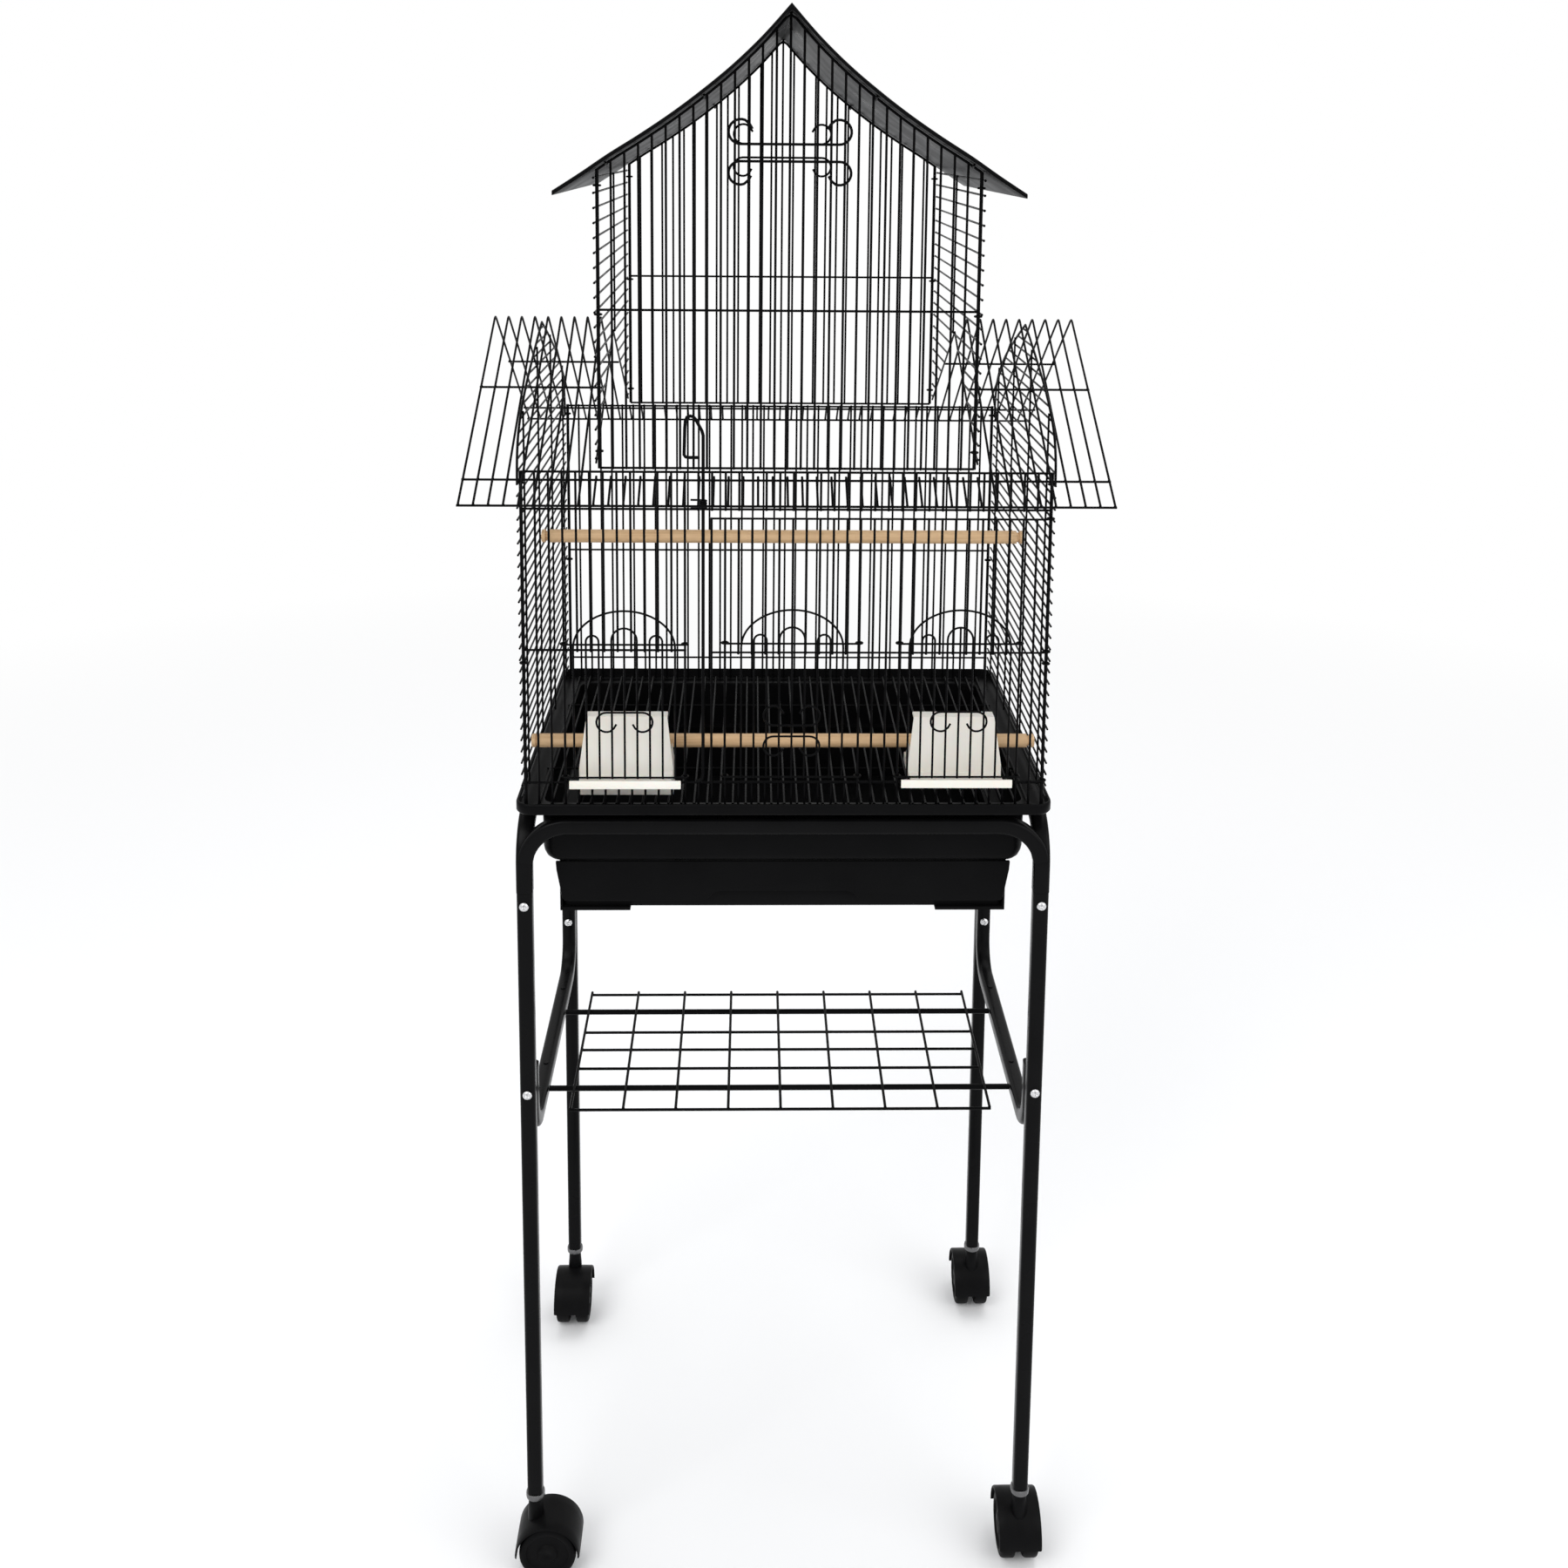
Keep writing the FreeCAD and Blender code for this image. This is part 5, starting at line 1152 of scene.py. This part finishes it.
class BIRDCAGE_OT_house(bpy.types.Operator):
    """Walls of the upper house with their scroll ornaments"""
    bl_idname = "bird_cage.house"
    bl_label = "Upper House"

    def execute(self, context):
        w = context.scene.cage_wires
        foot, wide, belt, under_hat = 1.0316, 0.154, 1.162, 0.0056
        for end, name in ENDS:
            y, inner = end * WALL_Y, end * WALL_INNER_Y
            lines, points = [], []
            for k in range(1, 28):
                x = -wide + w.house_pitch * k
                lines.append(([(x, y, foot), (x, y, hat_height(x) - 0.0052)], w.wire))
                points += [(x, y - end * w.wire * 0.85, z) for z in (foot, belt)]
            for z in (foot, belt):
                lines.append(([(-wide, inner, z), (wide, inner, z)], w.wire))
            edge = [(x, z - under_hat - (0.002 if x < 0.001 else 0.0)) for x, z in hat_curve() if x < wide]
            edge.append((wide, hat_height(wide) - under_hat))
            lines.append(([(-x, y, z) for x, z in edge[::-1]] + [(x, y, z) for x, z in edge[1:]], 0.0011))
            skin = end * (0.165 + 2 * w.wire - 0.0002)
            lines.append((scroll_line(0.0, skin, 1.2956, 0.049, 0.0195, True), 0.0011))
            lines.append((scroll_line(0.0, skin, 1.2820, 0.049, 0.0185, False), 0.0011))
            wires("house_wires_" + name, lines, "stand", ["house_" + name])
            corner_posts("house_posts_" + name, "house_hooks_" + name, wide, y, foot,
                         hat_height(wide) - 0.005,
                         (1.1585, 1.262, 1.046))
            beads("house_welds_" + name, points, "stand")
        for side, name in SIDES:
            x, inner = side * 0.1568, side * (0.1568 - 2 * w.fine + 0.0003)
            notch_top, notch_height = 1.126, 0.090
            lines, points = [], []
            for z in (1.268 - 0.012 * k for k in range(20)):
                near = max(0.0, (notch_top - z) / notch_height * WALL_Y)
                if near > 0.0:
                    lines += [([(x, end * near, z), (x, end * SIDE_REACH, z)], w.fine) for end in (-1, 1)]
                else:
                    lines.append(([(x, -SIDE_REACH, z), (x, SIDE_REACH, z)], w.fine))
                    points.append((x - side * w.fine * 0.85, 0.0, z))
                points += [(x, end * 0.1665, z) for end in (-1, 1)]
            lines.append(([(x, -WALL_Y, 1.036), (x, 0, notch_top), (x, WALL_Y, 1.036)], w.fine))
            lines.append(([(inner, 0.0, 1.125), (inner, 0.0, 1.269)], w.fine))
            wires("house_side_wires_" + name, lines, "stand", ["house_side_" + name])
            beads("house_side_welds_" + name, points, "stand", 0.0012)
        return {"FINISHED"}


class BIRDCAGE_OT_plastic_roof(bpy.types.Operator):
    """Moulded roof of the upper house"""
    bl_idname = "bird_cage.plastic_roof"
    bl_label = "Plastic Roof"

    def execute(self, context):
        line = hat_curve()
        thick = 0.00375
        top = [(-x, z) for x, z in line[::-1]] + line[1:]
        under = [(x, z - thick - (0.0014 if abs(x) < 0.001 else 0.0)) for x, z in top]
        front = [(-0.190, 0.0009), (-0.1894, 0.0003), (-0.1885, 0.0), (-0.12, 0.0)]
        rows = front + [(0.0, 0.0)] + [(-y, shrink) for y, shrink in front[::-1]]
        n = len(top)
        verts, faces = [], []
        for y, shrink in rows:
            verts += [(x, y, z - shrink) for x, z in top] + [(x, y, z + shrink) for x, z in under[::-1]]
        m = 2 * n
        for j in range(len(rows) - 1):
            faces += [[j * m + k, j * m + (k + 1) % m, (j + 1) * m + (k + 1) % m, (j + 1) * m + k]
                      for k in range(m)]
        last = (len(rows) - 1) * m
        for k in range(n - 1):
            faces.append([k, m - 1 - k, m - 2 - k, k + 1])
            faces.append([last + k, last + k + 1, last + m - 2 - k, last + m - 1 - k])
        mesh_piece("roof_shell", verts, faces, "black_roof", "stand", "roof_plastic", ["plastic_roof"],
                   smooth=30.0)
        bend = ((0.1630, 0.0), (0.1668, -0.0020), (0.1725, -0.0004), (0.1765, 0.0006))
        clips = []
        for x, s, end in ((x, s, end) for x in (0.068, 0.146) for s in (-1, 1) for end in (-1, 1)):
            z = hat_height(x) - 0.0056
            clips.append(([(s * x, end * y, z + rise) for y, rise in bend], 0.0010))
        wires("roof_clips", clips, "stand")
        return {"FINISHED"}


# name, place, power and width of each lamp
LAMPS = (("key", (-1.6, -2.2, 3.0), 42.0, 1.8), ("fill", (2.2, -1.8, 2.0), 24.0, 2.0),
         ("top", (0.2, 0.6, 3.4), 26.0, 2.4))


class BIRDCAGE_OT_stage(bpy.types.Operator):
    """Pale floor, soft lights and camera"""
    bl_idname = "bird_cage.stage"
    bl_label = "Stage"

    def execute(self, context):
        self.floor(tuple(context.scene.cage_colours.floor))
        self.world(context)
        for name, place, power, wide in LAMPS:
            lamp = bpy.data.lights.new(name, "AREA")
            lamp.energy = power
            lamp.size = wide
            spot = link_object(name, lamp)
            spot.location = place
            spot.rotation_mode = "QUATERNION"
            spot.rotation_quaternion = (Vector((0, 0, 0.8)) - Vector(place)).to_track_quat("-Z", "Y")
        self.camera(context)
        context.scene.view_settings.view_transform = "Standard"
        return {"FINISHED"}

    def floor(self, tone):
        """A wide matt floor that fades to plain white far from the cage."""
        mesh = point_mesh("studio_floor", [(-30, -30, 0), (30, -30, 0), (30, 30, 0), (-30, 30, 0)], (),
                          [[0, 1, 2, 3]])
        floor = link_object("studio_floor", mesh)
        mat, tree, shader, here = base_material("studio_floor")
        for word, value in (("Base Color", (*tone, 1.0)), ("Roughness", 0.9), ("Specular IOR Level", 0.1)):
            shader.inputs[word].default_value = value
        reach = add_node(tree, "ShaderNodeVectorMath", operation="LENGTH")
        fade = add_node(tree, "ShaderNodeMapRange", {"From Min": 0.9, "From Max": 3.2})
        path = add_node(tree, "ShaderNodeLightPath")
        seen = add_node(tree, "ShaderNodeMath", operation="MAXIMUM")
        both = add_node(tree, "ShaderNodeMath", operation="MULTIPLY")
        glow = add_node(tree, "ShaderNodeEmission")
        mix = add_node(tree, "ShaderNodeMixShader")
        tree.links.new(here, reach.inputs[0])
        join(tree, (reach, "Value", fade, "Value"), (path, "Is Camera Ray", seen, 0),
             (path, "Is Transmission Ray", seen, 1), (seen, "Value", both, 0), (fade, "Result", both, 1),
             (both, "Value", mix, "Fac"), (shader, "BSDF", mix, 1), (glow, "Emission", mix, 2),
             (mix, "Shader", tree.nodes["Material Output"], "Surface"))
        mesh.materials.append(mat)

    def world(self, context):
        """Soft light on the cage; plain white where the camera or a reflection looks past it."""
        world = bpy.data.worlds.new("studio")
        context.scene.world = world
        world.use_nodes = True
        tree = world.node_tree
        tree.nodes.clear()
        out = add_node(tree, "ShaderNodeOutputWorld")
        soft = add_node(tree, "ShaderNodeBackground", {"Color": (0.97, 0.98, 1.0, 1.0), "Strength": 0.75})
        white = add_node(tree, "ShaderNodeBackground", {"Color": (1.0, 1.0, 1.0, 1.0), "Strength": 1.0})
        path = add_node(tree, "ShaderNodeLightPath")
        seen = add_node(tree, "ShaderNodeMath", operation="MAXIMUM")
        also = add_node(tree, "ShaderNodeMath", operation="MAXIMUM")
        mix = add_node(tree, "ShaderNodeMixShader")
        join(tree, (path, "Is Camera Ray", seen, 0), (path, "Is Glossy Ray", seen, 1),
             (seen, "Value", also, 0),
             (path, "Is Transmission Ray", also, 1), (also, "Value", mix, "Fac"),
             (soft, "Background", mix, 1),
             (white, "Background", mix, 2), (mix, "Shader", out, "Surface"))

    def camera(self, context):
        data = bpy.data.cameras.new("camera")
        cam = link_object("camera", data)
        data.sensor_width = 36.0
        data.lens = 35.90
        data.shift_y = -0.2572
        data.clip_start, data.clip_end = 0.01, 100.0
        yaw, pitch, roll = CAMERA_YAW, CAMERA_PITCH, CAMERA_ROLL
        ahead = Vector((math.sin(yaw) * math.cos(pitch), math.cos(yaw) * math.cos(pitch), -math.sin(pitch)))
        right = Vector((math.cos(yaw), -math.sin(yaw), 0.0))
        up = right.cross(ahead)
        across = right * math.cos(roll) - up * math.sin(roll)
        above = right * math.sin(roll) + up * math.cos(roll)
        turn = Matrix((across, above, -ahead)).transposed()
        cam.matrix_world = Matrix.Translation(CAMERA_PLACE) @ turn.to_4x4()
        context.scene.camera = cam


class BIRDCAGE_PT_panel(bpy.types.Panel):
    """Lists the pieces in the sidebar"""
    bl_label = "Bird Cage"
    bl_idname = "BIRDCAGE_PT_panel"
    bl_space_type = "VIEW_3D"
    bl_region_type = "UI"
    bl_category = "Bird Cage"

    def draw(self, context):
        for group in (context.scene.cage_wires, context.scene.cage_stand, context.scene.cage_colours):
            box = self.layout.box()
            for word in group.bl_rna.properties.keys():
                if word not in ("rna_type", "name"):
                    box.prop(group, word)
        for operator in OPERATORS:
            self.layout.operator(operator.bl_idname)


OPERATORS = (BIRDCAGE_OT_stand, BIRDCAGE_OT_screws, BIRDCAGE_OT_shelf, BIRDCAGE_OT_casters, BIRDCAGE_OT_base,
             BIRDCAGE_OT_lower_walls, BIRDCAGE_OT_doors, BIRDCAGE_OT_cups, BIRDCAGE_OT_perches,
             BIRDCAGE_OT_lower_roof, BIRDCAGE_OT_house, BIRDCAGE_OT_plastic_roof, BIRDCAGE_OT_stage)
CLASSES = (CageWireSizes, CageStandSizes, CageColours) + OPERATORS + (BIRDCAGE_PT_panel,)


def register():
    for item in CLASSES:
        bpy.utils.register_class(item)
    bpy.types.Scene.cage_wires = bpy.props.PointerProperty(type=CageWireSizes)
    bpy.types.Scene.cage_stand = bpy.props.PointerProperty(type=CageStandSizes)
    bpy.types.Scene.cage_colours = bpy.props.PointerProperty(type=CageColours)


def unregister():
    del bpy.types.Scene.cage_wires
    del bpy.types.Scene.cage_stand
    del bpy.types.Scene.cage_colours
    for item in reversed(CLASSES):
        bpy.utils.unregister_class(item)


def main():
    register()
    bpy.ops.bird_cage.stand()
    bpy.ops.bird_cage.screws()
    bpy.ops.bird_cage.shelf()
    bpy.ops.bird_cage.casters()
    bpy.ops.bird_cage.base()
    bpy.ops.bird_cage.lower_walls()
    bpy.ops.bird_cage.doors()
    bpy.ops.bird_cage.cups()
    bpy.ops.bird_cage.perches()
    bpy.ops.bird_cage.lower_roof()
    bpy.ops.bird_cage.house()
    bpy.ops.bird_cage.plastic_roof()
    bpy.ops.bird_cage.stage()


if __name__ == "__main__":
    main()
